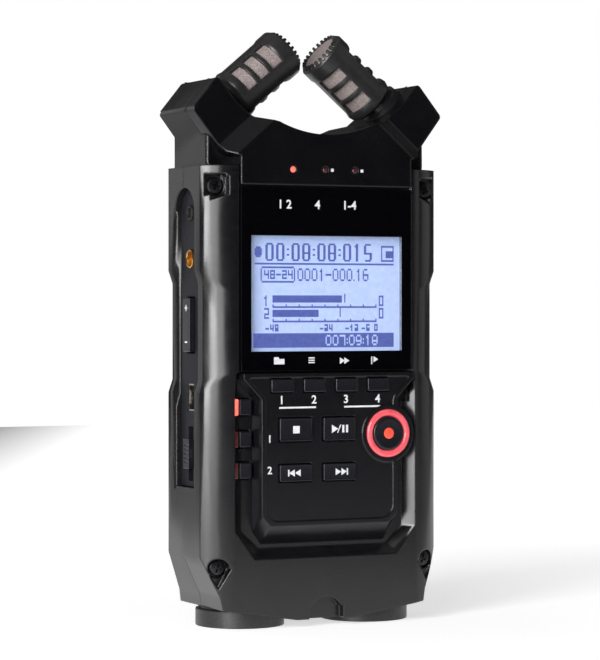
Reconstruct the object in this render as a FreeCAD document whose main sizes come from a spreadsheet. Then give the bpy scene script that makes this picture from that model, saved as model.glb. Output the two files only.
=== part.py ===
"""Handheld voice recorder, standing on its two jack rings, in millimetres.

+X is the right of the display, +Y the back and +Z up.  Fronts are given as depths before the
parting plane (Y = 0) of the two body shells, backs as depths behind it.
"""
import FreeCAD, Part
import os
import re
import Sketcher

DIMENSIONS = {
    # body shells
    "half_width": 34.3, "waist_draw": 1.0, "shell_top": 120.0, "shell_foot": 2.0,
    "rail_width": 7.8, "rail_front": 15.0, "rail_outer_front": 10.7, "waist_outer_front": 10.3,
    "side_back": 9.8, "waist_side_back": 9.4, "back_edge": 7.3, "back_face": 15.5,
    "waist_low_outer": 61.0, "waist_low_slope": 64.4, "waist_low_inner": 66.7,
    "waist_high_inner": 87.6, "waist_high_slope": 89.6, "waist_high_outer": 93.0,
    "corner_high": 19.0, "corner_mid": 8.5, "corner_mid_width": 4.7,
    "corner_low": 5.2, "corner_low_width": 5.3, "foot_half": 8.5,
    "side_wall": 2.0, "cavity_front": 10.8, "cavity_back": 13.7, "cavity_floor": 7.0,
    "cavity_roof": 2.4, "cavity_edge": 2.2, "notch_half": 5.0, "notch_top": 7.8, "notch_back": 12.6,
    # front recesses
    "window_gap": 0.3, "recess_low": 66.5, "ledge_front": 14.4, "trench_front": 12.4,
    "trench_rim_low": 18.2, "trench_rim_corner": 20.5, "trench_floor_half": 23.4,
    "trench_floor_low": 20.8, "trench_floor_corner": 18.6, "trench_shoulder": 61.0,
    "trench_side_low": 25.5,
    # display
    "window_half": 24.8, "window_low": 66.85, "window_drop": 5.5, "window_front": 15.6,
    "lcd_half": 23.3, "lcd_low": 70.7, "lcd_high": 103.3, "glass_rim": 0.9, "glass_front": 14.3,
    "glass_back": 12.5, "lcd_clearance": 0.2,
    # key panel
    "panel_front": 17.3, "panel_half": 19.7, "panel_low": 26.8, "panel_high": 66.3,
    "panel_shoulder_high": 64.8, "panel_shoulder_low": 59.5, "panel_corner": 2.5,
    "panel_side_slope": 0.7, "panel_low_slope": 4.9, "shell_gap": 0.05,
    "rec_boss_radius": 7.6, "rec_x": 17.0, "rec_z": 50.2, "ring_radius": 6.3, "ring_bore": 4.65,
    "ring_front": 17.9, "rec_key_radius": 4.5,
    # keys
    "key_clearance": 0.2, "key_flange": 0.6, "flange_front": 13.8, "flange_back": 12.95,
    "flange_room": 0.1, "key_travel": 0.5, "key_stop": 0.05, "stem_inset": 1.0, "stem_clearance": 0.3,
    "transport_front": 17.9, "track_front": 17.6, "stop_x": -10.1, "play_x": 2.5,
    "upper_keys_z": 51.7, "lower_keys_z": 40.5, "transport_width": 9.3, "upper_height": 6.0,
    "lower_height": 4.4, "track_z": 63.1, "track_width": 6.1, "track_height": 3.4,
    "track_near": 4.65, "track_far": 14.0, "input_x": -22.9, "input_width": 3.4,
    "input_height": 4.2, "input_front": 14.3, "input_flange_front": 10.7, "input_1_z": 57.6,
    "input_2_z": 49.3, "input_3_z": 41.2, "input_lamp_x": -25.7, "input_lamp_width": 1.2,
    "input_lamp_front": 14.7, "input_lamp_back": 12.9, "lamp_clearance": 0.05,
    # electronics
    "board_front": 7.0, "board_back": 5.8, "board_half": 27.8, "board_low": 36.0,
    "board_drop": 5.0, "switch_size": 3.0, "switch_height": 1.2, "mat_gap": 0.05,
    "mat_thickness": 0.8, "mat_left": 24.9, "mat_right": 22.5, "mat_low": 37.5, "mat_high": 65.2,
    "board_post_x": 26.0, "board_post_low": 68.0, "board_post_drop": 10.0,
    "board_post_radius": 2.0, "board_screw_radius": 1.0, "board_head_radius": 1.8,
    "board_head_height": 1.2, "board_screw_tip": 9.6,
    # case screws
    "lower_screw_inset": 4.3, "lower_screw_z": 16.2, "upper_screw_inset": 3.7,
    "upper_screw_drop": 5.4, "relief_side": 3.0, "relief_end": 2.6, "relief_high": 4.2,
    "relief_low": 5.4,
    "post_radius": 2.6, "post_back": 8.0, "head_radius": 2.1, "head_height": 1.2,
    "screw_recess_radius": 2.5, "screw_recess_front": 11.2, "relief_front": 12.0,
    "screw_radius": 1.0, "screw_clearance": 0.05, "screw_tip": 5.5,
    # side channels and port panels
    "channel_front": 7.0, "channel_back": 5.5, "channel_low": 36.5, "channel_drop": 5.5,
    "panel_depth": 1.8, "panel_thickness": 2.0, "panel_clearance": 0.1, "flange_margin": 1.4,
    "flange_low": 38.0, "flange_high": 106.0, "port_y": -0.9,
    "remote_z": 108.0, "remote_radius": 1.3, "phones_z": 96.0, "phones_radius": 1.8,
    "jack_sleeve": 0.7, "jack_nose": 0.6, "jack_body_half": 3.0, "jack_body_length": 13.5,
    "rocker_z": 78.75, "rocker_half_length": 7.05, "rocker_half_width": 2.2, "control_depth": 0.4,
    "rocker_reach": 2.1, "rocker_room": 0.4, "pivot_depth": 1.2, "pivot_radius": 0.8,
    "pivot_clearance": 0.05, "ear_gap": 0.3, "ear_thickness": 1.3, "ear_half": 1.7, "ear_reach": 2.9,
    "usb_z": 59.9, "usb_half_length": 3.5, "usb_half_width": 1.9, "usb_wall": 0.35,
    "usb_recess": 0.2, "usb_length": 8.8, "usb_base": 1.0,
    "knob_z": 45.2, "knob_half": 3.9, "knob_half_width": 1.9,
    "knob_neck_half": 3.4, "knob_neck_width": 1.3, "knob_travel": 3.5, "knob_gap": 0.1,
    "knob_plate": 0.8,
    "level_z": 98.0, "menu_z": 84.5, "menu_half": 2.4, "menu_half_width": 1.8, "menu_depth": 0.7,
    "menu_reach": 1.7, "dial_z": 72.0, "dial_stand": 0.3, "dial_radius": 7.0,
    "dial_half_width": 2.1, "dial_axle_radius": 1.0, "dial_room": 0.4,
    "card_z": 50.8, "card_half": 12.0, "card_length": 32.0, "card_thickness": 2.1,
    "card_depth": 1.9, "socket_front": 5.7, "socket_back": 1.9, "socket_side": 1.4,
    "socket_left": 2.0, "card_grip": 0.3, "card_clearance": 0.1,
    "door_low": 38.4, "door_high": 63.2, "door_front": 5.6, "door_depth": 1.0,
    "door_thickness": 1.0, "door_room": 0.3, "door_pivot_inset": 0.3, "door_pivot_y": 2.1,
    "door_knuckle": 0.7,
    # power
    "cell_radius": 7.25, "cell_x": 8.0, "cell_y": 8.0, "cell_low": 37.0, "cell_length": 50.5,
    "cell_nub_radius": 2.75, "cell_nub": 1.0, "tray_half": 17.2, "tray_front": 0.8,
    "tray_back": 13.6, "tray_low": 34.4, "tray_high": 90.2, "tray_wall": 1.2, "contact_radius": 4.0,
    "door_half": 19.2, "bay_half": 17.9, "bay_low": 28.0, "bay_high": 90.1, "cover_low": 26.0,
    "cover_high": 90.0, "cover_front": 15.6, "cover_back": 18.5, "cover_slope": 2.2,
    "cover_inside": 17.0, "hook_inset": 0.3, "hook_width": 1.2, "hook_front": 14.0,
    "hook_low": 34.5, "hook_high": 89.8,
    # back interfaces
    "tripod_z": 104.0, "tripod_radius": 3.1, "bush_radius": 5.2, "bush_front": 6.5,
    "bush_back": 15.6, "bush_post_radius": 6.6, "speaker_x": -17.0, "speaker_z": 104.5,
    "speaker_radius": 8.0, "speaker_front": 9.6, "slot_length": 11.0, "slot_width": 1.2,
    "slot_pitch": 2.4, "extmic_x": 17.0, "extmic_front": 1.5,
    # base jacks
    "jack_x": 18.3, "jack_y": -0.5, "jack_ring_radius": 11.7, "jack_ring_height": 4.5,
    "jack_ring_room": 0.1, "jack_sleeve_radius": 10.2, "jack_hole_clearance": 0.05,
    "jack_groove_radius": 9.6, "jack_core_radius": 8.0, "jack_core_face": 2.2,
    "jack_groove_top": 14.0, "jack_top": 33.6, "plug_radius": 3.25, "plug_top": 31.0,
    "pin_radius": 1.2, "pin_circle": 5.6, "pin_depth": 11.0, "latch_half": 2.5, "latch_low": 0.6,
    "latch_high": 3.1, "latch_inner": 10.1, "latch_outer": 11.5, "latch_gap": 0.15,
    "dc_y": 7.6, "dc_half": 4.2, "dc_half_depth": 3.6, "dc_top": 15.0, "dc_radius": 2.4,
    "dc_pin_radius": 0.8, "dc_depth": 9.0,
    # head
    "head_gap": 0.6, "head_front": 15.6, "head_split": 6.0, "head_back": 11.5, "neck_inset": 2.5,
    "neck_front": 9.3,
    "neck_rise": 8.4, "cheek_rise": 2.5, "arm_root_half": 28.0, "arm_root_rise": 3.5,
    "arm_overhang": 2.2, "arm_mid_rise": 14.5, "tip_half": 29.4, "arm_tip_rise": 23.2,
    "valley_half": 24.5, "valley_rise": 17.1, "saddle_half": 19.4, "saddle_rise": 12.8,
    "bridge_half": 13.4, "bridge_side_rise": 11.5, "bridge_rise": 8.5, "bridge_radius": 32.5,
    "crease_tilt": 41.0, "crease_near": 18.93, "crease_far": 23.23, "crease_far_front": 11.3,
    "crease_end": 37.43, "crease_end_front": 10.8, "head_wall": 2.0,
    "head_cavity_half": 22.0, "head_cavity_rise": 6.5, "mode_lamp_drop": 0.8,
    "mode_lamp_radius": 0.8,
    "mode_lamp_left": -9.9, "mode_lamp_middle": -0.6, "mode_lamp_right": 8.1,
    "mode_lamp_front": 15.7,
    # microphones
    "mic_x": 13.35, "mic_rise": 24.7, "mic_tilt": 40.0, "turn_tilt": 32.5, "mic_base": 10.2,
    "mic_tip": 11.2, "cage_radius": 6.9, "cage_bore": 5.9, "cage_floor": 1.6, "window_pitch": 4.6,
    "window_height": 3.3, "window_width": 7.4, "window_start": -6.9, "left_window_turn": -31.0,
    "right_window_turn": 48.0, "mesh_radius": 5.8,
    "mesh_bore": 5.4, "mesh_start": -8.5, "mesh_end": 10.2, "capsule_radius": 5.2,
    "capsule_start": -4.0, "capsule_end": 9.2, "stem_radius": 4.6, "stem_start": 9.6,
    "stem_end": 17.4, "bush_fit": 0.05, "mic_bush_radius": 5.75, "mic_bush_start": 11.7,
    "mic_bush_end": 16.5, "stem_well": 18.0, "spot_radius": 7.6, "spot_end": 11.4,
}

# Places that follow from the sizes.
PLACES = {
    "waist_half_width": "half_width - waist_draw", "rail_inner": "half_width - rail_width",
    "back_inner": "half_width - back_edge", "corner_mid_half": "half_width - corner_mid_width",
    "corner_low_half": "half_width - corner_low_width", "cavity_top": "shell_top - cavity_roof",
    "recess_half": "window_half + window_gap", "window_high": "shell_top - window_drop",
    "board_high": "shell_top - board_drop", "board_post_high": "shell_top - board_post_drop",
    "lower_screw_x": "half_width - lower_screw_inset",
    "upper_screw_x": "half_width - upper_screw_inset",
    "upper_screw_z": "shell_top - upper_screw_drop", "channel_high": "shell_top - channel_drop",
    "panel_face": "half_width - panel_depth", "panel_inside": "panel_face - panel_thickness",
    "jack_body_end": "panel_inside - jack_body_length", "control_face": "half_width - control_depth",
    "rocker_inside": "panel_inside - rocker_reach", "pivot_x": "panel_inside - pivot_depth",
    "ear_end": "panel_inside - ear_reach", "usb_face": "panel_face - usb_recess",
    "usb_end": "usb_face - usb_length", "usb_floor": "usb_end + usb_base",
    "menu_face": "half_width - menu_depth", "menu_back": "panel_inside - menu_reach",
    "dial_x": "half_width + dial_stand - dial_radius", "card_edge": "panel_face - card_depth",
    "socket_right": "card_edge - card_grip", "door_face": "half_width - door_depth",
    "door_pivot_x": "door_face - door_pivot_inset", "head_low": "window_high + head_gap",
    "neck_half": "half_width - neck_inset", "neck_high": "shell_top + neck_rise",
    "cheek_high": "shell_top + cheek_rise", "arm_root": "shell_top + arm_root_rise",
    "arm_half": "half_width + arm_overhang", "arm_mid": "shell_top + arm_mid_rise",
    "arm_tip": "shell_top + arm_tip_rise", "valley": "shell_top + valley_rise",
    "saddle": "shell_top + saddle_rise", "bridge_side": "shell_top + bridge_side_rise",
    "bridge": "shell_top + bridge_rise", "head_cavity_high": "shell_top + head_cavity_rise",
    "mode_lamp_z": "shell_top - mode_lamp_drop", "mic_z": "shell_top + mic_rise",
}

document = FreeCAD.newDocument("voice_recorder")
sheet = document.addObject("Spreadsheet::Sheet", "Dims")
CELLS = {**DIMENSIONS, **{place: "=" + formula for place, formula in PLACES.items()}}
for row, (alias, content) in enumerate(CELLS.items(), 1):
    sheet.set(f"A{row}", alias)
    sheet.set(f"B{row}", str(content))
    sheet.setAlias(f"B{row}", alias)
document.recompute()

subparts = {}
FRONT_PLANE = FreeCAD.Rotation(FreeCAD.Vector(1, 0, 0), 90)
SIDE_PLANE = FreeCAD.Rotation(FreeCAD.Vector(1, 1, 1), 120)
PLANES = {"x": SIDE_PLANE, "y": FRONT_PLANE, "z": FreeCAD.Rotation()}
ALONG = {"x": FreeCAD.Rotation(FreeCAD.Vector(0, 1, 0), 90),
         "y": FreeCAD.Rotation(FreeCAD.Vector(1, 0, 0), -90), "z": FreeCAD.Rotation()}


def bound(expression):
    """The expression with each dimension's name read from the sheet."""
    return re.sub(r"[a-z]\w*", lambda word: "Dims." + word.group() if word.group() in CELLS
                  else word.group(), str(expression))


def size(expression):
    """The expression's value now."""
    return float(sheet.evalExpression(bound(expression)))


def bind(thing, **sizes):
    for name, expression in sizes.items():
        thing.setExpression(name, bound(expression))


def move(thing, corner):
    for letter, expression in zip("xyz", corner):
        thing.setExpression("Placement.Base." + letter, bound(expression))


def new(kind, name):
    return document.addObject(kind, name)


def subpart(label, shape):
    """Names a finished piece: its label is its file's name."""
    shape.Label = label
    subparts[label] = shape
    return shape


def box(name, x, y, z):
    """A block between a low and a high expression on each axis."""
    block = new("Part::Box", name)
    move(block, (x[0], y[0], z[0]))
    bind(block, Length=f"({x[1]}) - ({x[0]})", Width=f"({y[1]}) - ({y[0]})",
         Height=f"({z[1]}) - ({z[0]})")
    return block


def rod(name, axis, centre, radius, span):
    """A cylinder along x, y or z through the centre given on the other two axes."""
    pin = new("Part::Cylinder", name)
    corner = list(centre)
    corner.insert("xyz".index(axis), span[0])
    pin.Placement = FreeCAD.Placement(FreeCAD.Vector(), ALONG[axis])
    move(pin, corner)
    bind(pin, Radius=radius, Height=f"({span[1]}) - ({span[0]})")
    return pin


def outline(name, axis, level, corners):
    """A closed sketch across an axis, each corner held by its two expressions."""
    sketch = new("Sketcher::SketchObject", name)
    sketch.Placement = FreeCAD.Placement(FreeCAD.Vector(), PLANES[axis])
    sketch.setExpression("Placement.Base." + axis, bound(level))
    places = [FreeCAD.Vector(size(across), size(up), 0) for across, up in corners]
    for start, end in zip(places, places[1:] + places[:1]):
        sketch.addGeometry(Part.LineSegment(start, end), False)
    for index, (across, up) in enumerate(corners):
        following = (index + 1) % len(corners)
        sketch.addConstraint(Sketcher.Constraint("Coincident", index, 2, following, 1))
        for direction, expression in (("DistanceX", across), ("DistanceY", up)):
            held = Sketcher.Constraint(direction, -1, 1, index, 1, size(expression))
            number = sketch.addConstraint(held)
            sketch.setExpression(f"Constraints[{number}]", bound(expression))
    return sketch


def slab(name, axis, span, corners):
    """An outline extruded along its axis from the low to the high expression."""
    solid = new("Part::Extrusion", name)
    solid.Base = outline(name + "_outline", axis, span[0], corners)
    solid.DirMode = "Custom"
    solid.Dir = FreeCAD.Vector(axis == "x", axis == "y", axis == "z")
    solid.Solid = True
    bind(solid, LengthFwd=f"({span[1]}) - ({span[0]})")
    return solid


def tapered(name, axis, first, second):
    """A solid between two outlines, each given as a level and its corners."""
    solid = new("Part::Loft", name)
    solid.Sections = [outline(f"{name}_{end}", axis, level, corners)
                      for end, (level, corners) in enumerate((first, second))]
    solid.Solid = True
    solid.Ruled = True
    return solid


def mirrored(corners):
    """Right-hand corners, followed by their left-hand mirror in reverse."""
    return list(corners) + [(f"-({across})", up) for across, up in reversed(corners)]


def fuse(name, *pieces):
    if len(pieces) == 1:
        return pieces[0]
    joined = new("Part::MultiFuse", name)
    joined.Shapes = list(pieces)
    joined.Refine = True
    return joined


def cut(name, base, *tools):
    rest = new("Part::Cut", name)
    rest.Base = base
    rest.Tool = fuse(name + "_tools", *tools)
    rest.Refine = True
    return rest


def common(name, first, second):
    shared = new("Part::Common", name)
    shared.Base = first
    shared.Tool = second
    return shared


def mirror(name, source):
    """The same piece on the other side of the middle plane."""
    twin = new("Part::Mirroring", name)
    twin.Source = source
    twin.Normal = FreeCAD.Vector(1, 0, 0)
    return twin


def skin_solid(name, rings):
    """A solid whose flat faces join rings of corners, one ring above the other."""
    faces = [Part.Face(Part.makePolygon(rings[0] + rings[0][:1])),
             Part.Face(Part.makePolygon(rings[-1] + rings[-1][:1]))]
    for lower, upper in zip(rings, rings[1:]):
        for index in range(len(lower)):
            corners = [lower[index - 1], lower[index], upper[index], upper[index - 1]]
            kept = [corner for place, corner in enumerate(corners) if corner != corners[place - 1]]
            if len(kept) > 2:
                faces.append(Part.Face(Part.makePolygon(kept + kept[:1])))
    solid = Part.Solid(Part.Shell(faces))
    if solid.Volume < 0:
        solid.reverse()
    feature = new("Part::Feature", name)
    feature.Shape = solid.removeSplitter()
    feature.Placement = FreeCAD.Placement()
    return feature


def waisted_blank(name, inner, inner_depth, edge_depth, waist_edge_depth):
    """Half of the body's outside: bevelled rails, drawn in a little at the waist."""
    full = (size("half_width"), size(edge_depth))
    waist = (size("waist_half_width"), size(waist_edge_depth))
    levels = (("shell_foot", "shell_foot", full), ("waist_low_outer", "waist_low_inner", full),
              ("waist_low_slope", "waist_low_inner", waist),
              ("waist_high_slope", "waist_high_inner", waist),
              ("waist_high_outer", "waist_high_inner", full), ("shell_top", "shell_top", full))
    rings = []
    for outer_level, inner_level, (half, depth) in levels:
        outer_z, inner_z = size(outer_level), size(inner_level)
        right = [(half, 0, outer_z), (half, depth, outer_z), (size(inner), size(inner_depth), inner_z)]
        left = [(-x, y, z) for x, y, z in reversed(right)]
        rings.append([FreeCAD.Vector(*corner) for corner in right + left])
    return skin_solid(name, rings)


# ---------------------------------------------------------------- body shells
OUTSIDE = mirrored([
    ("half_width + 2", "shell_top + 1"),
    ("half_width + 2", "corner_high + 2 * (corner_high - corner_mid) / (half_width - corner_mid_half)"),
    ("corner_mid_half", "corner_mid"), ("corner_low_half", "corner_low"),
    ("foot_half", "shell_foot")])
INSIDE = mirrored([
    ("half_width - side_wall", "shell_top + 1"),
    ("half_width - side_wall", "corner_high + side_wall"),
    ("corner_mid_half - side_wall", "corner_mid + side_wall"),
    ("corner_mid_half - side_wall", "cavity_floor")])
CHANNEL_RADIUS = "(channel_front + channel_back) / 2"
CHANNEL_Y = "(channel_back - channel_front) / 2"


def channel_plug(name, gap, span):
    """The side channel's outline with its round top, drawn in by a gap."""
    straight = box(name + "_straight", span, (f"{gap} - channel_front", f"channel_back - {gap}"),
                   (f"channel_low + {gap}", f"channel_high - {CHANNEL_RADIUS}"))
    end = rod(name + "_end", "x", (CHANNEL_Y, f"channel_high - {CHANNEL_RADIUS}"),
              f"{CHANNEL_RADIUS} - {gap}", span)
    return fuse(name, straight, end)


def screw_posts(name, span):
    posts = [rod(f"{name}_{height}_{side}", "y", (f"{sign}{height}_screw_x", f"{height}_screw_z"),
                 "post_radius", span)
             for height in ("lower", "upper") for side, sign in (("left", "-"), ("right", ""))]
    return fuse(name, *posts)


def screw_holes(name, radius, span):
    return [rod(f"{name}_{height}_{side}", "y", (f"{sign}{height}_screw_x", f"{height}_screw_z"),
                radius, span)
            for height in ("lower", "upper") for side, sign in (("left", "-"), ("right", ""))]


def jack_seats(name):
    """Room for the two base jacks: their rings below, their sleeves above."""
    seats = []
    for side, sign in (("left", "-"), ("right", "")):
        centre = (f"{sign}jack_x", "jack_y")
        seats.append(rod(f"{name}_ring_{side}", "z", centre, "jack_ring_radius + jack_ring_room",
                         ("-1", "jack_ring_height + jack_ring_room")))
        seats.append(rod(f"{name}_sleeve_{side}", "z", centre,
                         "jack_sleeve_radius + jack_hole_clearance", ("-1", "jack_top + 0.2")))
    return seats


def channel_openings(name):
    right = channel_plug(name + "_right", "0", ("half_width - side_wall - 3", "half_width + 3"))
    return [right, mirror(name + "_left", right)]


def shell(name, inner, inner_depth, edge_depth, waist_edge_depth, cavity_depth, post_end):
    """One body shell: blank within its front outline, hollowed, with its screw posts."""
    blank = waisted_blank(name + "_blank", inner, inner_depth, edge_depth, waist_edge_depth)
    solid = common(name + "_solid", blank, slab(name + "_outside", "y", ("-20", "20"), OUTSIDE))
    section = slab(name + "_section", "z", ("cavity_floor", "cavity_top"), mirrored([
        ("waist_half_width - side_wall", f"-({cavity_depth}) / abs({cavity_depth})"),
        ("waist_half_width - side_wall",
         f"({cavity_depth}) - cavity_edge * ({cavity_depth}) / abs({cavity_depth})"),
        ("rail_inner - 0.3", cavity_depth)]))
    hollow = common(name + "_hollow", section, slab(name + "_inside", "y", ("-20", "20"), INSIDE))
    emptied = cut(name + "_emptied", solid, hollow)
    posts = screw_posts(name + "_posts", post_end)
    inside_posts = common(name + "_kept_posts", posts,
                          slab(name + "_post_limit", "y", ("-20", "20"), OUTSIDE))
    return fuse(name + "_posted", emptied, inside_posts)


def key_hole(name, x, z, width, height, gap, span):
    return box(name, (f"({x}) - ({width}) / 2 - ({gap})", f"({x}) + ({width}) / 2 + ({gap})"), span,
               (f"({z}) - ({height}) / 2 - ({gap})", f"({z}) + ({height}) / 2 + ({gap})"))


KEYS = {
    "stop_key": ("stop_x", "upper_keys_z", "transport_width", "upper_height", "transport_front"),
    "play_key": ("play_x", "upper_keys_z", "transport_width", "upper_height", "transport_front"),
    "rewind_key": ("stop_x", "lower_keys_z", "transport_width", "lower_height", "transport_front"),
    "forward_key": ("play_x", "lower_keys_z", "transport_width", "lower_height", "transport_front"),
    "track_key_1": ("-track_far", "track_z", "track_width", "track_height", "track_front"),
    "track_key_2": ("-track_near", "track_z", "track_width", "track_height", "track_front"),
    "track_key_3": ("track_near", "track_z", "track_width", "track_height", "track_front"),
    "track_key_4": ("track_far", "track_z", "track_width", "track_height", "track_front"),
}
INPUT_KEYS = {f"input_key_{number}": ("input_x", f"input_{number}_z", "input_width", "input_height")
              for number in (1, 2, 3)}
STEM = "- 2 * stem_inset"

front_holes = jack_seats("front_jack_seats") + channel_openings("front_channels")
front_holes += screw_holes("front_screw_holes", "screw_radius + screw_clearance", ("-20", "1"))
front_holes += screw_holes("front_recesses", "screw_recess_radius", ("-20", "-screw_recess_front"))
front_holes.append(slab("display_recess", "y", ("-20", "-ledge_front"), mirrored([
    ("recess_half", "recess_low"), ("recess_half", "shell_top + 2")])))
front_holes.append(tapered(
    "trench", "y",
    ("-(rail_front + 1)", mirrored([
        ("recess_half + 1", "recess_low"), ("rail_inner + 1", "trench_shoulder"),
        ("rail_inner + 1", "trench_side_low"), ("trench_rim_corner + 1", "trench_rim_low - 1")])),
    ("-trench_front", mirrored([
        ("recess_half", "recess_low"), ("trench_floor_half", "trench_shoulder - 1"),
        ("trench_floor_half", "trench_side_low"), ("trench_floor_corner", "trench_floor_low")]))))
front_holes.append(box("panel_seat", ("-recess_half", "recess_half"), ("-20", "-trench_front"),
                       ("panel_shoulder_low - 1", "recess_low")))
front_holes.append(box("lcd_opening", ("-lcd_half - lcd_clearance", "lcd_half + lcd_clearance"),
                       ("-20", "-5"), ("lcd_low - lcd_clearance", "lcd_high + lcd_clearance")))
for key, (x, z, width, height, front) in KEYS.items():
    front_holes.append(key_hole(key + "_shell_hole", x, z, width + STEM, height + STEM,
                                "stem_clearance", ("-20", "-5")))
for key, (x, z, width, height) in INPUT_KEYS.items():
    front_holes.append(key_hole(key + "_shell_hole", x, z, width, height, "key_clearance",
                                ("-20", "-5")))
    front_holes.append(key_hole(key + "_lamp_hole", "input_lamp_x", z, "input_lamp_width", height,
                                "lamp_clearance", ("-20", "-input_lamp_back")))
front_holes.append(rod("rec_boss_seat", "y", ("rec_x", "rec_z"), "rec_boss_radius + key_clearance",
                       ("-20", "-trench_front")))
front_holes.append(rod("rec_shell_hole", "y", ("rec_x", "rec_z"),
                       "rec_key_radius - stem_inset + stem_clearance", ("-20", "-5")))
front_holes.append(box("front_notch", ("-notch_half", "notch_half"), ("-20", "-notch_back"),
                       ("-1", "notch_top - notch_half / 2")))
front_holes.append(rod("front_notch_arch", "y", ("0", "notch_top - notch_half"), "notch_half",
                       ("-20", "-notch_back")))
for side, sign in (("left", "-"), ("right", "")):
    front_holes.append(slab(f"upper_relief_{side}", "y", ("-20", "-relief_front"), [
        (f"{sign}(upper_screw_x - relief_side)", "upper_screw_z + relief_end"),
        (f"{sign}(upper_screw_x + relief_end)", "upper_screw_z + relief_end"),
        (f"{sign}(upper_screw_x + relief_end)", "upper_screw_z - relief_high"),
        (f"{sign}(upper_screw_x - relief_side)", "upper_screw_z - relief_high / 2")]))
    front_holes.append(slab(f"lower_relief_{side}", "y", ("-20", "-relief_front"), [
        (f"{sign}(lower_screw_x - relief_side)", "lower_screw_z"),
        (f"{sign}lower_screw_x", "lower_screw_z - relief_low"),
        (f"{sign}(lower_screw_x + relief_end)", "lower_screw_z - relief_end / 2")]))
board_posts = [rod(f"board_post_{height}_{side}", "y", (f"{sign}board_post_x", f"board_post_{height}"),
                   "board_post_radius", ("-cavity_front - 0.5", "-board_front"))
               for height in ("low", "high") for side, sign in (("left", "-"), ("right", ""))]
board_holes = [rod(f"board_hole_{height}_{side}", "y", (f"{sign}board_post_x", f"board_post_{height}"),
                   "board_screw_radius + screw_clearance", ("-board_screw_tip - 0.2", "-5"))
               for height in ("low", "high") for side, sign in (("left", "-"), ("right", ""))]
front_blank = shell("front", "rail_inner", "-rail_front", "-rail_outer_front", "-waist_outer_front",
                    "-cavity_front", ("-cavity_front", "0"))
subpart("front_shell", cut("front_shell", fuse("front_with_posts", front_blank, *board_posts),
                           *(front_holes + board_holes)))

rear_holes = jack_seats("rear_jack_seats") + channel_openings("rear_channels")
rear_holes += screw_holes("rear_screw_holes", "screw_radius + screw_clearance", ("-1", "screw_tip + 0.3"))
rear_holes.append(box("battery_bay", ("-bay_half", "bay_half"), ("tray_back - 0.5", "20"),
                      ("bay_low", "bay_high")))
rear_holes.append(rod("tripod_hole", "y", ("0", "tripod_z"), "bush_radius", ("bush_front", "20")))
rear_holes.append(rod("extmic_hole", "y", ("extmic_x", "tripod_z"),
                      "phones_radius + jack_sleeve + screw_clearance", ("extmic_front", "20")))
rear_holes.append(box("dc_hole", ("-dc_half - 0.1", "dc_half + 0.1"),
                      ("dc_y - dc_half_depth - 0.1", "dc_y + dc_half_depth + 0.1"), ("-1", "dc_top")))
for slot in range(-2, 3):
    rear_holes.append(box(f"speaker_slot_{slot + 2}",
                          ("speaker_x - slot_length / 2", "speaker_x + slot_length / 2"), ("10", "20"),
                          (f"speaker_z + {slot} * slot_pitch - slot_width / 2",
                           f"speaker_z + {slot} * slot_pitch + slot_width / 2")))
tripod_post = rod("tripod_post", "y", ("0", "tripod_z"), "bush_post_radius",
                  ("bush_front", "cavity_back + 0.5"))
rear_blank = shell("rear", "back_inner", "back_face", "side_back", "waist_side_back",
                   "cavity_back", ("0", "post_back"))
subpart("rear_shell", cut("rear_shell", fuse("rear_with_posts", rear_blank, tripod_post), *rear_holes))

# ---------------------------------------------------------------- display
subpart("display_window", box("display_window", ("-window_half", "window_half"),
                              ("-window_front", "-ledge_front"), ("window_low", "window_high")))
frame_block = box("lcd_frame_block", ("-lcd_half", "lcd_half"), ("-glass_front", "-board_front"),
                  ("lcd_low", "lcd_high"))
frame_pocket = box("lcd_frame_pocket",
                   ("-lcd_half + glass_rim - lamp_clearance", "lcd_half - glass_rim + lamp_clearance"),
                   ("-20", "-glass_back"),
                   ("lcd_low + glass_rim - lamp_clearance", "lcd_high - glass_rim + lamp_clearance"))
subpart("lcd_frame", cut("lcd_frame", frame_block, frame_pocket))
subpart("lcd_glass", box("lcd_glass", ("-lcd_half + glass_rim", "lcd_half - glass_rim"),
                         ("-glass_front", "-glass_back"),
                         ("lcd_low + glass_rim", "lcd_high - glass_rim")))

# ---------------------------------------------------------------- key panel
PANEL_FACE = mirrored([
    ("window_half", "panel_high"), ("window_half", "panel_shoulder_high"),
    ("panel_half", "panel_shoulder_low"), ("panel_half", "panel_low + panel_corner"),
    ("panel_half - panel_corner", "panel_low")])
PANEL_FOOT = mirrored([
    ("window_half", "panel_high"), ("window_half", "panel_shoulder_high"),
    ("panel_half + panel_side_slope", "panel_shoulder_low"),
    ("panel_half + panel_side_slope", "panel_low - panel_low_slope + panel_corner + 1"),
    ("panel_half + panel_side_slope - panel_corner", "panel_low - panel_low_slope")])
PANEL_BACK = "-(trench_front + shell_gap)"
panel_block = tapered("panel_block", "y", ("-panel_front", PANEL_FACE), (PANEL_BACK, PANEL_FOOT))
rec_boss = rod("rec_boss", "y", ("rec_x", "rec_z"), "rec_boss_radius", ("-panel_front", PANEL_BACK))
panel_holes = [rod("ring_hole", "y", ("rec_x", "rec_z"), "ring_radius + lamp_clearance", ("-20", "-5"))]
for key, (x, z, width, height, front) in KEYS.items():
    panel_holes.append(key_hole(key + "_panel_hole", x, z, width, height, "key_clearance",
                                ("-20", "-5")))
    panel_holes.append(key_hole(key + "_flange_room", x, z, width, height, "key_flange + flange_room",
                                ("-flange_front - flange_room", "-5")))
subpart("key_panel", cut("key_panel", fuse("panel_with_boss", panel_block, rec_boss), *panel_holes))
ring_block = rod("ring_block", "y", ("rec_x", "rec_z"), "ring_radius", ("-ring_front", PANEL_BACK))
ring_bore = rod("ring_bore_rod", "y", ("rec_x", "rec_z"), "ring_bore", ("-20", "-5"))
ring_room = rod("ring_flange_room", "y", ("rec_x", "rec_z"), "ring_bore + key_flange",
                ("-flange_front - flange_room", "-5"))
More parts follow.
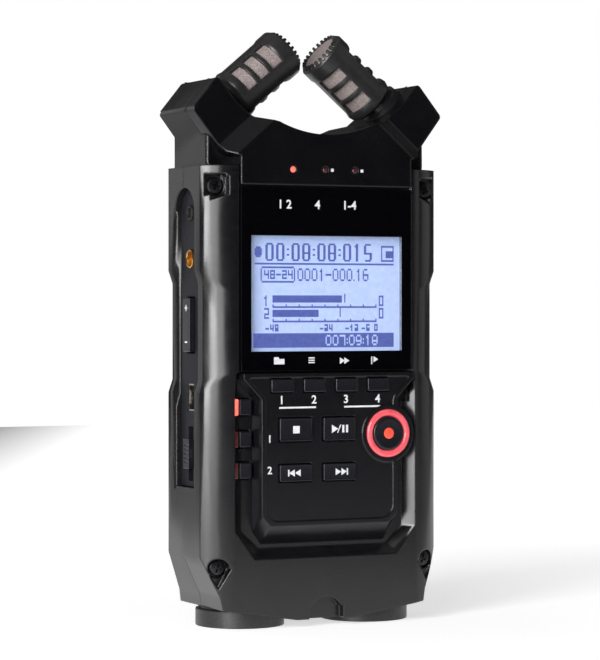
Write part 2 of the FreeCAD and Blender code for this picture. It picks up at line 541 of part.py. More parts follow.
subpart("rec_ring", cut("rec_ring", ring_block, ring_bore, ring_room))


def origin_plane(body, role):
    return next(plane for plane in body.Origin.OriginFeatures if plane.Role == role)


def front_sketch(body, name, depth, draw):
    """A sketch on the body's front plane, at a depth before the parting plane."""
    sketch = body.newObject("Sketcher::SketchObject", name)
    sketch.AttachmentSupport = [(origin_plane(body, "XZ_Plane"), "")]
    sketch.MapMode = "FlatFace"
    sketch.setExpression("AttachmentOffset.Base.z", bound(depth))
    draw(sketch)
    return sketch


def rectangle(x, z, width, height):
    """Draws a rectangle about a centre, held by expressions."""
    def draw(sketch):
        corners = [(f"({x}) {across} ({width}) / 2", f"({z}) {up} ({height}) / 2")
                   for across, up in (("-", "-"), ("+", "-"), ("+", "+"), ("-", "+"))]
        places = [FreeCAD.Vector(size(across), size(up), 0) for across, up in corners]
        for start, end in zip(places, places[1:] + places[:1]):
            sketch.addGeometry(Part.LineSegment(start, end), False)
        for index, (across, up) in enumerate(corners):
            following = (index + 1) % len(corners)
            sketch.addConstraint(Sketcher.Constraint("Coincident", index, 2, following, 1))
            for direction, expression in (("DistanceX", across), ("DistanceY", up)):
                held = Sketcher.Constraint(direction, -1, 1, index, 1, size(expression))
                number = sketch.addConstraint(held)
                sketch.setExpression(f"Constraints[{number}]", bound(expression))
    return draw


def circle(x, z, radius):
    """Draws a circle held by its centre and radius."""
    def draw(sketch):
        centre = FreeCAD.Vector(size(x), size(z), 0)
        sketch.addGeometry(Part.Circle(centre, FreeCAD.Vector(0, 0, 1), size(radius)), False)
        held = (Sketcher.Constraint("DistanceX", -1, 1, 0, 3, centre.x),
                Sketcher.Constraint("DistanceY", -1, 1, 0, 3, centre.y),
                Sketcher.Constraint("Radius", 0, size(radius)))
        for number, (constraint, expression) in enumerate(zip(held, (x, z, radius))):
            sketch.addConstraint(constraint)
            sketch.setExpression(f"Constraints[{number}]", bound(expression))
    return draw


def key_body(label, layers):
    """A moulded key: pads one behind the other, each a drawing and its front and back depths."""
    body = new("PartDesign::Body", label)
    for number, (draw, front, back) in enumerate(layers):
        pad = body.newObject("PartDesign::Pad", f"{label}_pad_{number}")
        pad.Profile = front_sketch(body, f"{label}_sketch_{number}", back, draw)
        bind(pad, Length=f"({front}) - ({back})")
    return subpart(label, body)


KEY_END_DEPTH = "board_front + switch_height + mat_gap + mat_thickness + key_travel + key_stop"
for key, (x, z, width, height, front) in KEYS.items():
    key_body(key, [
        (rectangle(x, z, width, height), front, "flange_front"),
        (rectangle(x, z, f"{width} + 2 * key_flange", f"{height} + 2 * key_flange"),
         "flange_front", "flange_back"),
        (rectangle(x, z, width + STEM, height + STEM), "flange_back", KEY_END_DEPTH)])
key_body("rec_key", [
    (circle("rec_x", "rec_z", "rec_key_radius"), "transport_front", "flange_front"),
    (circle("rec_x", "rec_z", "ring_bore + key_flange - flange_room"), "flange_front", "flange_back"),
    (circle("rec_x", "rec_z", "rec_key_radius - stem_inset"), "flange_back", KEY_END_DEPTH)])
for key, (x, z, width, height) in INPUT_KEYS.items():
    key_body(key, [
        (rectangle(x, z, width, height), "input_front", "input_flange_front"),
        (rectangle(x, z, f"{width} + 2 * key_flange", f"{height} + 2 * key_flange"),
         "input_flange_front", KEY_END_DEPTH)])
subpart("input_lamps", fuse("input_lamps", *[
    key_hole(f"input_lamp_{number}", "input_lamp_x", f"input_{number}_z", "input_lamp_width",
             "input_height", "0", ("-input_lamp_front", "-input_lamp_back"))
    for number in (1, 2, 3)]))

# ---------------------------------------------------------------- electronics behind the keys
board = box("board_block", ("-board_half", "board_half"), ("-board_front", "-board_back"),
            ("board_low", "board_high"))
board_screw_holes = [rod(f"board_clear_{height}_{side}", "y",
                         (f"{sign}board_post_x", f"board_post_{height}"),
                         "board_screw_radius + screw_clearance", ("-20", "0"))
                     for height in ("low", "high") for side, sign in (("left", "-"), ("right", ""))]
subpart("main_board", cut("main_board", board, *board_screw_holes))
SWITCH_PLACES = [(x, z) for x, z, *rest in KEYS.values()]
SWITCH_PLACES += [(x, z) for x, z, *rest in INPUT_KEYS.values()] + [("rec_x", "rec_z")]
subpart("tact_switches", fuse("tact_switches", *[
    key_hole(f"tact_switch_{number}", x, z, "switch_size", "switch_size", "0",
             ("-board_front - switch_height", "-board_front"))
    for number, (x, z) in enumerate(SWITCH_PLACES)]))
subpart("key_mat", box("key_mat", ("-mat_left", "mat_right"),
                       ("-(board_front + switch_height + mat_gap + mat_thickness)",
                        "-(board_front + switch_height + mat_gap)"), ("mat_low", "mat_high")))


def screw(name, axis_place, radius, head, head_span, shank_end):
    shank = rod(name + "_shank", "y", axis_place, radius, (head_span[0], shank_end))
    cap = rod(name + "_head", "y", axis_place, head, head_span)
    return fuse(name, shank, cap)


case_screws = [screw(f"case_screw_{height}_{side}", (f"{sign}{height}_screw_x", f"{height}_screw_z"),
                     "screw_radius", "head_radius",
                     ("-screw_recess_front - head_height", "-screw_recess_front"), "screw_tip")
               for height in ("lower", "upper") for side, sign in (("left", "-"), ("right", ""))]
subpart("case_screws", fuse("case_screws", *case_screws))
board_screws = []
for height in ("low", "high"):
    for side, sign in (("left", "-"), ("right", "")):
        place = (f"{sign}board_post_x", f"board_post_{height}")
        shank = rod(f"board_shank_{height}_{side}", "y", place, "board_screw_radius",
                    ("-board_screw_tip", "-board_back"))
        head = rod(f"board_head_{height}_{side}", "y", place, "board_head_radius",
                   ("-board_back", "-board_back + board_head_height"))
        board_screws.append(fuse(f"board_screw_{height}_{side}", shank, head))
subpart("board_screws", fuse("board_screws", *board_screws))

# ---------------------------------------------------------------- side panels
def ears(name, z, half_width, x_span, half_height, pin_x, pin_radius):
    """Two ears behind a panel that hold a pivot pin along Y."""
    plates = []
    for side, inner, outer in (("front", f"port_y - {half_width} - ear_gap - ear_thickness",
                                f"port_y - {half_width} - ear_gap"),
                               ("back", f"port_y + {half_width} + ear_gap",
                                f"port_y + {half_width} + ear_gap + ear_thickness")):
        plates.append(box(f"{name}_{side}", x_span, (inner, outer),
                          (f"{z} - {half_height}", f"{z} + {half_height}")))
    hole = rod(name + "_hole", "y", (pin_x, z), f"{pin_radius} + pivot_clearance",
               (f"port_y - {half_width} - 5", f"port_y + {half_width} + 5"))
    return cut(name, fuse(name + "_plates", *plates), hole)


def panel_blank(name, extra):
    """A port panel on the right: its plug fills the channel, its flange lies behind the walls."""
    plug = channel_plug(name + "_plug", "panel_clearance", ("waist_half_width - side_wall", "panel_face"))
    flange = box(name + "_flange", ("panel_inside", "waist_half_width - side_wall"),
                 ("-channel_front - flange_margin", "channel_back + flange_margin"),
                 ("flange_low", "flange_high"))
    notch = rod(name + "_screw_notch", "y", ("upper_screw_x", "upper_screw_z"),
                "screw_radius + 0.3", ("-10", "10"))
    return cut(name + "_blank", fuse(name + "_joined", plug, flange, *extra), notch)


THROUGH = ("panel_inside - 4", "half_width + 2")


def port_slot(name, z, half_length, half_width, gap):
    return box(name, THROUGH,
               (f"port_y - ({half_width}) - ({gap})", f"port_y + ({half_width}) + ({gap})"),
               (f"{z} - ({half_length}) - ({gap})", f"{z} + ({half_length}) + ({gap})"))


def rocker(name, z):
    """A rocker key on the right: one block on a pivot pin behind the panel."""
    block = box(name + "_block", ("rocker_inside", "control_face"),
                ("port_y - rocker_half_width", "port_y + rocker_half_width"),
                (f"{z} - rocker_half_length", f"{z} + rocker_half_length"))
    pin = rod(name + "_pin", "y", ("pivot_x", z), "pivot_radius",
              ("port_y - rocker_half_width - ear_gap - ear_thickness",
               "port_y + rocker_half_width + ear_gap + ear_thickness"))
    return fuse(name, block, pin)


right_ears = [ears("level_ears", "level_z", "rocker_half_width", ("ear_end", "panel_inside"),
                   "ear_half", "pivot_x", "pivot_radius"),
              ears("dial_ears", "dial_z", "dial_half_width", ("dial_x - 2", "panel_inside"),
                   "ear_half", "dial_x", "dial_axle_radius")]
right_panel = cut("right_port_panel", panel_blank("right_panel", right_ears),
                  port_slot("level_slot", "level_z", "rocker_half_length", "rocker_half_width",
                            "rocker_room"),
                  port_slot("menu_slot", "menu_z", "menu_half", "menu_half_width", "key_clearance"),
                  port_slot("dial_slot", "dial_z", "dial_radius - dial_room", "dial_half_width",
                            "dial_room"),
                  box("card_door_opening", THROUGH,
                      ("-door_front - door_room", "door_pivot_y + door_knuckle + door_room"),
                      ("door_low - door_room", "door_high + door_room")))
subpart("right_port_panel", right_panel)
subpart("level_rocker", rocker("level_rocker", "level_z"))
menu_cap = box("menu_cap", ("menu_back", "menu_face"),
               ("port_y - menu_half_width", "port_y + menu_half_width"),
               ("menu_z - menu_half", "menu_z + menu_half"))
menu_flange = box("menu_flange", ("menu_back", "panel_inside - flange_room"),
                  ("port_y - menu_half_width - key_flange", "port_y + menu_half_width + key_flange"),
                  ("menu_z - menu_half - key_flange", "menu_z + menu_half + key_flange"))
subpart("menu_key", fuse("menu_key", menu_cap, menu_flange))
dial_wheel = rod("dial_wheel", "y", ("dial_x", "dial_z"), "dial_radius",
                 ("port_y - dial_half_width", "port_y + dial_half_width"))
dial_axle = rod("dial_axle", "y", ("dial_x", "dial_z"), "dial_axle_radius",
                ("port_y - dial_half_width - ear_gap - ear_thickness",
                 "port_y + dial_half_width + ear_gap + ear_thickness"))
subpart("scroll_dial", fuse("scroll_dial", dial_wheel, dial_axle))
door_plate = box("door_plate", ("door_face - door_thickness", "door_face"),
                 ("-door_front", "door_pivot_y"), ("door_low", "door_high"))
door_knuckle = rod("door_knuckle_rod", "z", ("door_pivot_x", "door_pivot_y"), "door_knuckle",
                   ("door_low", "door_high"))
subpart("sd_door", fuse("sd_door", door_plate, door_knuckle))
CARD_Y = "-(socket_front + socket_back) / 2"
card_low, card_high = "card_z - card_half", "card_z + card_half"
subpart("sd_card", box("sd_card", ("card_edge - card_length", "card_edge"),
                       (f"{CARD_Y} - card_thickness / 2", f"{CARD_Y} + card_thickness / 2"),
                       (card_low, card_high)))
socket_block = box("socket_block", ("socket_left", "socket_right"), ("-socket_front", "-socket_back"),
                   (f"{card_low} - socket_side", f"{card_high} + socket_side"))
card_slot = box("card_slot", ("card_edge - card_length - 5", "card_edge + 5"),
                (f"{CARD_Y} - card_thickness / 2 - card_clearance",
                 f"{CARD_Y} + card_thickness / 2 + card_clearance"),
                (f"{card_low} - card_clearance", f"{card_high} + card_clearance"))
subpart("sd_socket", cut("sd_socket", socket_block, card_slot))

left_ears = [ears("volume_ears", "rocker_z", "rocker_half_width", ("ear_end", "panel_inside"),
                  "ear_half", "pivot_x", "pivot_radius")]
left_panel = cut("left_panel_right_hand", panel_blank("left_panel", left_ears),
                 port_slot("volume_slot", "rocker_z", "rocker_half_length", "rocker_half_width",
                           "rocker_room"),
                 port_slot("knob_slot", "knob_z", "knob_neck_half + knob_travel", "knob_neck_width",
                           "key_clearance"),
                 port_slot("usb_slot", "usb_z", "usb_half_length", "usb_half_width", "lamp_clearance"),
                 rod("remote_hole", "x", ("port_y", "remote_z"),
                     "remote_radius + jack_sleeve + lamp_clearance", THROUGH),
                 rod("phones_hole", "x", ("port_y", "phones_z"),
                     "phones_radius + jack_sleeve + lamp_clearance", THROUGH))
subpart("left_port_panel", mirror("left_port_panel", left_panel))
subpart("volume_rocker", mirror("volume_rocker", rocker("volume_rocker_right_hand", "rocker_z")))


def side_jack(name, z, radius):
    """A socket on the left: a sleeve through the panel before a square body."""
    sleeve = rod(name + "_sleeve", "x", ("port_y", z), f"{radius} + jack_sleeve",
                 ("panel_inside - 1", "panel_face + jack_nose"))
    body = box(name + "_body", ("jack_body_end", "panel_inside - lamp_clearance"),
               ("port_y - jack_body_half", "port_y + jack_body_half"),
               (f"{z} - jack_body_half", f"{z} + jack_body_half"))
    bore = rod(name + "_bore", "x", ("port_y", z), radius, ("jack_body_end + 1", "40"))
    return cut(name + "_solid", fuse(name + "_joined", sleeve, body), bore)


subpart("phones_jack", mirror("phones_jack", side_jack("phones", "phones_z", "phones_radius")))
subpart("remote_jack", mirror("remote_jack", side_jack("remote", "remote_z", "remote_radius")))
usb_block = port_slot("usb_block", "usb_z", "usb_half_length", "usb_half_width", "0")
bind(usb_block, Length="usb_face - usb_end")
usb_block.setExpression("Placement.Base.x", bound("usb_end"))
usb_room = port_slot("usb_room", "usb_z", "usb_half_length - usb_wall", "usb_half_width - usb_wall", "0")
bind(usb_room, Length="10 + usb_face - usb_floor")
usb_room.setExpression("Placement.Base.x", bound("usb_floor"))
usb_tongue = box("usb_tongue", ("usb_floor", "usb_face - 1"), ("port_y - 0.4", "port_y + 0.4"),
                 ("usb_z - usb_half_length / 2", "usb_z + usb_half_length / 2"))
usb_hollow = cut("usb_hollow", usb_block, usb_room)
subpart("usb_port", mirror("usb_port", fuse("usb_right_hand", usb_hollow, usb_tongue)))
knob_cap = box("knob_cap", ("panel_face + knob_gap", "control_face"),
               ("port_y - knob_half_width", "port_y + knob_half_width"),
               ("knob_z - knob_half", "knob_z + knob_half"))
knob_neck = box("knob_neck", ("panel_inside - knob_gap - knob_plate", "control_face - 1"),
                ("port_y - knob_neck_width", "port_y + knob_neck_width"),
                ("knob_z - knob_neck_half", "knob_z + knob_neck_half"))
knob_plate = box("knob_back", ("panel_inside - knob_gap - knob_plate", "panel_inside - knob_gap"),
                 ("port_y - knob_half_width", "port_y + knob_half_width"),
                 ("knob_z - knob_half", "knob_z + knob_half"))
subpart("power_knob", mirror("power_knob", fuse("knob_right_hand", knob_cap, knob_neck, knob_plate)))

# ---------------------------------------------------------------- battery bay
tray_block = box("tray_block", ("-tray_half", "tray_half"), ("-tray_front", "tray_back"),
                 ("tray_low", "tray_high"))
tray_room = box("tray_room", ("-tray_half + tray_wall", "tray_half - tray_wall"),
                ("-tray_front + tray_wall", "20"), ("tray_low + tray_wall", "tray_high - tray_wall"))
subpart("battery_tray", cut("battery_tray", tray_block, tray_room))
cells, contacts = [], []
for side, sign, nub_up in (("left", "-", True), ("right", "", False)):
    centre = (f"{sign}cell_x", "cell_y")
    cell_high = "cell_low + cell_length"
    can = ("cell_low", f"{cell_high} - cell_nub") if nub_up else ("cell_low + cell_nub", cell_high)
    cells.append(fuse(f"cell_{side}", rod(f"can_{side}", "z", centre, "cell_radius", can),
                      rod(f"nub_{side}", "z", centre, "cell_nub_radius", ("cell_low", cell_high))))
    contacts.append(rod(f"contact_low_{side}", "z", centre, "contact_radius",
                        ("tray_low + tray_wall", "cell_low")))
    contacts.append(rod(f"contact_high_{side}", "z", centre, "contact_radius",
                        (cell_high, "tray_high - tray_wall")))
subpart("aa_cells", fuse("aa_cells", *cells))
subpart("battery_contacts", fuse("battery_contacts", *contacts))
cover = tapered(
    "cover_block", "y",
    ("cover_front", mirrored([("door_half", "cover_low"), ("door_half", "cover_high")])),
    ("cover_back", mirrored([("door_half - cover_slope", "cover_low + cover_slope"),
                             ("door_half - cover_slope", "cover_high - cover_slope")])))
cover_room = box("cover_room", ("-bay_half + hook_inset + hook_width", "bay_half - hook_inset - hook_width"),
                 ("cover_front - 5", "cover_inside"), ("hook_low + hook_width", "hook_high - hook_width"))
hooks = [box(f"cover_hook_{side}", span, ("hook_front", "cover_front + 0.5"), ("hook_low", "hook_high"))
         for side, span in (("left", ("-bay_half + hook_inset", "-bay_half + hook_inset + hook_width")),
                            ("right", ("bay_half - hook_inset - hook_width", "bay_half - hook_inset")))]
subpart("battery_door", cut("battery_door", fuse("cover_with_hooks", cover, *hooks), cover_room))

# ---------------------------------------------------------------- back fittings
bush_block = rod("bush_block", "y", ("0", "tripod_z"), "bush_radius", ("bush_front", "bush_back"))
bush_thread = rod("bush_thread", "y", ("0", "tripod_z"), "tripod_radius", ("bush_front - 1", "20"))
subpart("tripod_bush", cut("tripod_bush", bush_block, bush_thread))
subpart("speaker_driver", rod("speaker_driver", "y", ("speaker_x", "speaker_z"), "speaker_radius",
                              ("speaker_front", "cavity_back")))
extmic_sleeve = rod("extmic_sleeve", "y", ("extmic_x", "tripod_z"), "phones_radius + jack_sleeve",
                    ("extmic_front", "back_face + 0.1"))
extmic_body = box("extmic_body", ("extmic_x - jack_body_half", "extmic_x + jack_body_half"),
                  ("extmic_front - 1", "cavity_back - lamp_clearance"),
                  ("tripod_z - jack_body_half", "tripod_z + jack_body_half"))
extmic_bore = rod("extmic_bore", "y", ("extmic_x", "tripod_z"), "phones_radius",
                  ("extmic_front", "20"))
subpart("ext_mic_jack", cut("ext_mic_jack", fuse("extmic_joined", extmic_sleeve, extmic_body),
                            extmic_bore))

# ---------------------------------------------------------------- base jacks
def combo_jack(side, sign):
    """A base jack: ring, sleeve, and a core with a plug bore and three pin holes."""
    centre = (f"{sign}jack_x", "jack_y")
    ring = rod(f"{side}_jack_ring", "z", centre, "jack_ring_radius", ("0", "jack_ring_height"))
    sleeve = rod(f"{side}_jack_sleeve", "z", centre, "jack_sleeve_radius", ("0", "jack_groove_top + 2"))
    case = rod(f"{side}_jack_case", "z", centre, "jack_groove_radius", ("jack_groove_top", "jack_top"))
    groove = rod(f"{side}_jack_groove", "z", centre, "jack_groove_radius", ("-1", "jack_groove_top"))
    core = rod(f"{side}_jack_core", "z", centre, "jack_core_radius",
               ("jack_core_face", "jack_groove_top + 1"))
    plug = rod(f"{side}_jack_plug", "z", centre, "plug_radius", ("-1", "plug_top"))
    pins = []
    for number, (across, back) in enumerate((("-pin_circle", "0"), ("pin_circle", "0"),
                                             ("0", "pin_circle"))):
        pins.append(rod(f"{side}_jack_pin_{number}", "z", (f"{sign}jack_x + {across}",
                                                           f"jack_y - {back}"),
                        "pin_radius", ("-1", "jack_core_face + pin_depth")))
    slot = box(f"{side}_jack_slot", (f"{sign}jack_x - latch_half - latch_gap",
                                     f"{sign}jack_x + latch_half + latch_gap"),
               ("jack_y + latch_inner - latch_gap", "jack_y + 20"),
               ("-1", "jack_ring_height + 1"))
    body = cut(f"{side}_jack_body", fuse(f"{side}_jack_outer", ring, sleeve, case), groove)
    cored = fuse(f"{side}_jack_cored", body, core)
    subpart(f"{side}_combo_jack", cut(f"{side}_combo_jack", cored, plug, slot, *pins))
    subpart(f"{side}_jack_latch", box(f"{side}_jack_latch",
                                      (f"{sign}jack_x - latch_half", f"{sign}jack_x + latch_half"),
                                      ("jack_y + latch_inner", "jack_y + latch_outer"),
                                      ("latch_low", "latch_high")))


combo_jack("left", "-")
combo_jack("right", "")
dc_block = box("dc_block", ("-dc_half", "dc_half"), ("dc_y - dc_half_depth", "dc_y + dc_half_depth"),
               ("shell_foot + 0.4", "dc_top"))
dc_bore = rod("dc_bore", "z", ("0", "dc_y"), "dc_radius", ("-1", "shell_foot + dc_depth"))
dc_pin = rod("dc_pin", "z", ("0", "dc_y"), "dc_pin_radius", ("shell_foot + 1", "shell_foot + dc_depth + 1"))
subpart("dc_jack", fuse("dc_jack", cut("dc_hollow", dc_block, dc_bore), dc_pin))

# ---------------------------------------------------------------- head
ARM = [("arm_half", "arm_mid"), ("tip_half", "arm_tip"), ("valley_half", "valley"),
       ("saddle_half", "saddle"), ("bridge_half", "bridge_side")]
FRONT_HEAD = mirrored([("window_half", "head_low"), ("window_half", "cheek_high"),
                       ("arm_root_half", "arm_root")] + ARM)
REAR_HEAD = mirrored([("neck_half", "shell_top"), ("neck_half", "neck_high")] + ARM)


def across_crease(distance, back):
    """A point at a distance along the crease's normal from the middle of the shells' top."""
    return (f"({distance}) * sin(crease_tilt * 1deg)", back,
            f"shell_top + ({distance}) * cos(crease_tilt * 1deg)")


def crease_cutter(name, profile):
    """Removes what lies before a bent slope; the profile gives distances and depths."""
    along = FreeCAD.Vector(-size("cos(crease_tilt * 1deg)"), 0, size("sin(crease_tilt * 1deg)"))
    corners = []
    for distance, depth in profile:
        x, y, z = across_crease(distance, depth)
        corners.append(FreeCAD.Vector(size(x), size(y), size(z)))
    face = Part.Face(Part.makePolygon(corners + corners[:1]))
    face.translate(along * -60)
    feature = new("Part::Feature", name)
    feature.Shape = face.extrude(along * 120)
    feature.Placement = FreeCAD.Placement()
    return feature


def turned_rod(name, tilt, radius, span):
    """A left-hand cylinder on a line through the microphone's middle; spans grow towards its tip."""
    pin = new("Part::Cylinder", name)
    pin.Placement = FreeCAD.Placement(FreeCAD.Vector(), FreeCAD.Rotation(FreeCAD.Vector(0, 1, 0), 90))
    pin.setExpression("Placement.Rotation.Angle", bound(f"90 - {tilt}"))
    move(pin, (f"-mic_x + ({span[0]}) * cos({tilt} * 1deg)", "0",
               f"mic_z + ({span[0]}) * sin({tilt} * 1deg)"))
    bind(pin, Radius=radius, Height=f"({span[1]}) - ({span[0]})")
    return pin


def bridge_arc(name):
    """The hollow curve of the bridge between the arms."""
    return rod(name, "y", ("0", "bridge + bridge_radius"), "bridge_radius", ("-40", "40"))


front_slope = crease_cutter("front_slope", [
    ("crease_near", "-head_front"), ("crease_far", "-crease_far_front"),
    ("crease_end", "-crease_end_front"), ("crease_end + 30", "-crease_end_front"),
    ("crease_end + 30", "-head_front - 9"), ("crease_near", "-head_front - 9")])
front_head = slab("front_head", "y", ("-head_front", "-head_split"), FRONT_HEAD)
lamp_holes = [rod(f"mode_lamp_hole_{place}", "y", (f"mode_lamp_{place}", "mode_lamp_z"),
                  "mode_lamp_radius + lamp_clearance", ("-20", "-ledge_front"))
              for place in ("left", "middle", "right")]
tongue_room = box("tongue_room", ("-40", "40"), ("-ledge_front - shell_gap", "0"), ("100", "shell_top"))
front_room = box("front_room", ("-head_cavity_half", "head_cavity_half"),
                 ("-head_front + head_wall", "0"), ("shell_top - 1", "head_cavity_high"))
left_spot = turned_rod("left_front_spot", "turn_tilt", "spot_radius", ("-spot_end", "-3"))
subpart("head_front_cover", cut("head_front_cover", front_head, front_slope,
                                mirror("front_slope_left", front_slope), bridge_arc("front_arc"),
                                tongue_room, front_room, left_spot,
                                mirror("right_front_spot", left_spot), *lamp_holes))
neck_front = cut("neck_front",
                 box("neck_front_block", ("-neck_half", "neck_half"), ("-neck_front", "-head_split"),
                     ("shell_top", "neck_high")),
                 slab("neck_front_room", "y", ("-head_front", "0"), FRONT_HEAD),
                 box("neck_middle_room", ("-window_half", "window_half"), ("-head_front", "0"),
                     ("100", "150")))
rear_head = fuse("rear_head", slab("rear_head_block", "y", ("-head_split", "head_back"), REAR_HEAD),
                 neck_front)
rear_room = box("rear_room", ("-head_cavity_half", "head_cavity_half"),
                ("-20", "head_back - head_wall"), ("shell_top - 1", "head_cavity_high"))
left_wells = fuse("left_wells",
                  turned_rod("left_bush_well", "turn_tilt", "mic_bush_radius + bush_fit",
                             ("-mic_bush_end - bush_fit", "-5")),
                  turned_rod("left_stem_well", "turn_tilt", "stem_radius + bush_fit",
                             ("-stem_well", "-5")),
                  turned_rod("left_spot_face", "turn_tilt", "spot_radius", ("-spot_end", "-3")))
subpart("head_rear_cover", cut("head_rear_cover", rear_head, bridge_arc("rear_arc"), rear_room,
                               left_wells, mirror("right_wells", left_wells)))
subpart("mode_lamps", fuse("mode_lamps", *[
    rod(f"mode_lamp_{place}", "y", (f"mode_lamp_{place}", "mode_lamp_z"), "mode_lamp_radius",
        ("-mode_lamp_front", "-ledge_front - shell_gap")) for place in ("left", "middle", "right")]))
left_bush = cut("left_bush",
                turned_rod("left_bush_block", "turn_tilt", "mic_bush_radius",
                           ("-mic_bush_end", "-mic_bush_start")),
                turned_rod("left_bush_bore", "turn_tilt", "stem_radius + bush_fit", ("-20", "-5")))
subpart("mic_bushes", fuse("mic_bushes", left_bush, mirror("right_bush", left_bush)))

# ---------------------------------------------------------------- microphones
CAGE_INSIDE = "-mic_base + cage_floor"
cage_tube = cut("cage_tube",
                turned_rod("cage_block", "mic_tilt", "cage_radius", ("-mic_base", "mic_tip")),
                turned_rod("cage_room", "mic_tilt", "cage_bore", (CAGE_INSIDE, "mic_tip + 5")))
cage_stem = turned_rod("cage_stem", "turn_tilt", "stem_radius", ("-stem_end", "-stem_start"))


def cage(side):
    """A left-hand cage: three rows of three windows, turned to suit its own side."""
    windows = []
    for level in range(3):
        for turn in (0, 120, 240):
            window = new("Part::Box", f"{side}_window_{level}_{turn}")
            bind(window, Length="2 * cage_radius", Width="window_width", Height="window_height")
            place = FreeCAD.Placement(
                FreeCAD.Vector(-size("mic_x"), 0, size("mic_z")),
                FreeCAD.Rotation(FreeCAD.Vector(0, 1, 0), 90 - size("mic_tilt")))
            place = place * FreeCAD.Placement(
                FreeCAD.Vector(0, 0, size("window_start") + level * size("window_pitch")),
                FreeCAD.Rotation(FreeCAD.Vector(0, 0, 1), -90 + size(side + "_window_turn") + turn))
            window.Placement = place * FreeCAD.Placement(
                FreeCAD.Vector(0, -size("window_width") / 2, 0), FreeCAD.Rotation())
            windows.append(window)
    return cut(side + "_cage", fuse(side + "_cage_with_stem", cage_tube, cage_stem), *windows)


left_mesh = cut("left_mic_mesh",
                turned_rod("mesh_block", "mic_tilt", "mesh_radius", ("mesh_start", "mesh_end")),
                turned_rod("mesh_room", "mic_tilt", "mesh_bore", ("mesh_start - 1", "mesh_end - 0.4")))
left_capsule = turned_rod("left_mic_capsule", "mic_tilt", "capsule_radius",
                          ("capsule_start", "capsule_end"))
subpart("left_mic_cage", cage("left"))
subpart("right_mic_cage", mirror("right_mic_cage", cage("right")))
for piece, source in (("mic_mesh", left_mesh), ("mic_capsule", left_capsule)):
    subpart("left_" + piece, source)
    subpart("right_" + piece, mirror("right_" + piece, source))

# ---------------------------------------------------------------- checks and files
document.recompute()
for thing in document.Objects:
    if "Invalid" in thing.State or "Error" in thing.State:
        raise RuntimeError(f"{thing.Name} failed: {thing.State}")
for label, thing in subparts.items():
    if thing.Shape.isNull() or not thing.Shape.isValid() or not thing.Shape.Solids:
        raise RuntimeError(f"{label} has no valid solid")
os.makedirs("parts", exist_ok=True)
for label, thing in subparts.items():
    thing.Shape.exportStep(os.path.join("parts", label + ".step"))
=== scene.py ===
import math
import bmesh
import bpy
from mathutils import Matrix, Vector


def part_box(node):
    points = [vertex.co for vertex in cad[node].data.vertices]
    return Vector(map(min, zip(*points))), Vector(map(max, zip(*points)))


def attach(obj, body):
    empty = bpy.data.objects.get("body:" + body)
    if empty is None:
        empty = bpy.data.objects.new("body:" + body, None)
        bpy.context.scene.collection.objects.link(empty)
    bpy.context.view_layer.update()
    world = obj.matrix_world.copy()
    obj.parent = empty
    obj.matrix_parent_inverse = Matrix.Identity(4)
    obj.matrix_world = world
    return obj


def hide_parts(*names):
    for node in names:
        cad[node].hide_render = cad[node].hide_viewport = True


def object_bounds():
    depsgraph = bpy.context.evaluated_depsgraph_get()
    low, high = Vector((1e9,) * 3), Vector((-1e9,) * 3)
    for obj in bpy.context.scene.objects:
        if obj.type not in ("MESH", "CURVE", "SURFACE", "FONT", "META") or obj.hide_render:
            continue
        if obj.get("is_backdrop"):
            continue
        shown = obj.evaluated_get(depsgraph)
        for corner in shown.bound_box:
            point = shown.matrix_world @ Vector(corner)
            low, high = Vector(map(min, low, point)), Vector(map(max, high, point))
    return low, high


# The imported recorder: it stands upright on its two jack rings, its keys face -Y and its left
# side is -X.  Every size below is in millimetres.
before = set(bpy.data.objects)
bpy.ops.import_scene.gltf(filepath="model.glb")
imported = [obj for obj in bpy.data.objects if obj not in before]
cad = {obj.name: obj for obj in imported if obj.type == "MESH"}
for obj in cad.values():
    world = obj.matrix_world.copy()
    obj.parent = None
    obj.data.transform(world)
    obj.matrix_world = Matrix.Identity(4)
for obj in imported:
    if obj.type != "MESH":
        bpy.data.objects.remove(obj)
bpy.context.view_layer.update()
MM = 0.001

# ---------------------------------------------------------------- camera
# A long lens at the height of the recorder's middle, to the left of its front.
bpy.ops.object.camera_add(location=(-0.311, -0.638, 0.084),
                          rotation=(math.radians(90), 0, math.radians(-26)))
camera = bpy.context.object
camera.name = "camera"
camera.data.lens = 145.25
camera.data.sensor_width = 36
camera.data.shift_x = -0.003
camera.data.shift_y = -0.038
camera.data.clip_start = 0.01
bpy.context.scene.camera = camera
bpy.context.scene.view_settings.view_transform = "Standard"

# ---------------------------------------------------------------- studio
# A pale table that gives a little light of its own, faded out to the left and ahead, where the
# black faces would mirror it, under six soft boxes in a white room whose front is left dark.
def add_node(tree, kind, operation=None, **inputs):
    """Adds a shader node and sets its inputs; an underscore stands for a space in their names."""
    node = tree.nodes.new("ShaderNode" + kind)
    if operation:
        node.operation = operation
    for socket, value in inputs.items():
        node.inputs[socket.replace("_", " ")].default_value = value
    return node


def add_range(tree, start, end, low, high):
    """Adds a node that turns values from start to end into values from low to high."""
    return add_node(tree, "MapRange", From_Min=start, From_Max=end, To_Min=low, To_Max=high)


def wire(tree, *steps):
    """Links nodes: each step is a node, its output, the next node and that one's input."""
    for source, output, target, socket in steps:
        tree.links.new(source.outputs[output], target.inputs[socket])


def paint_ramp(tree, dark, light):
    """Adds a colour ramp between two colours."""
    ramp = tree.nodes.new("ShaderNodeValToRGB")
    for element, colour in zip(ramp.color_ramp.elements, (dark, light)):
        element.color = (*colour, 1)
    return ramp


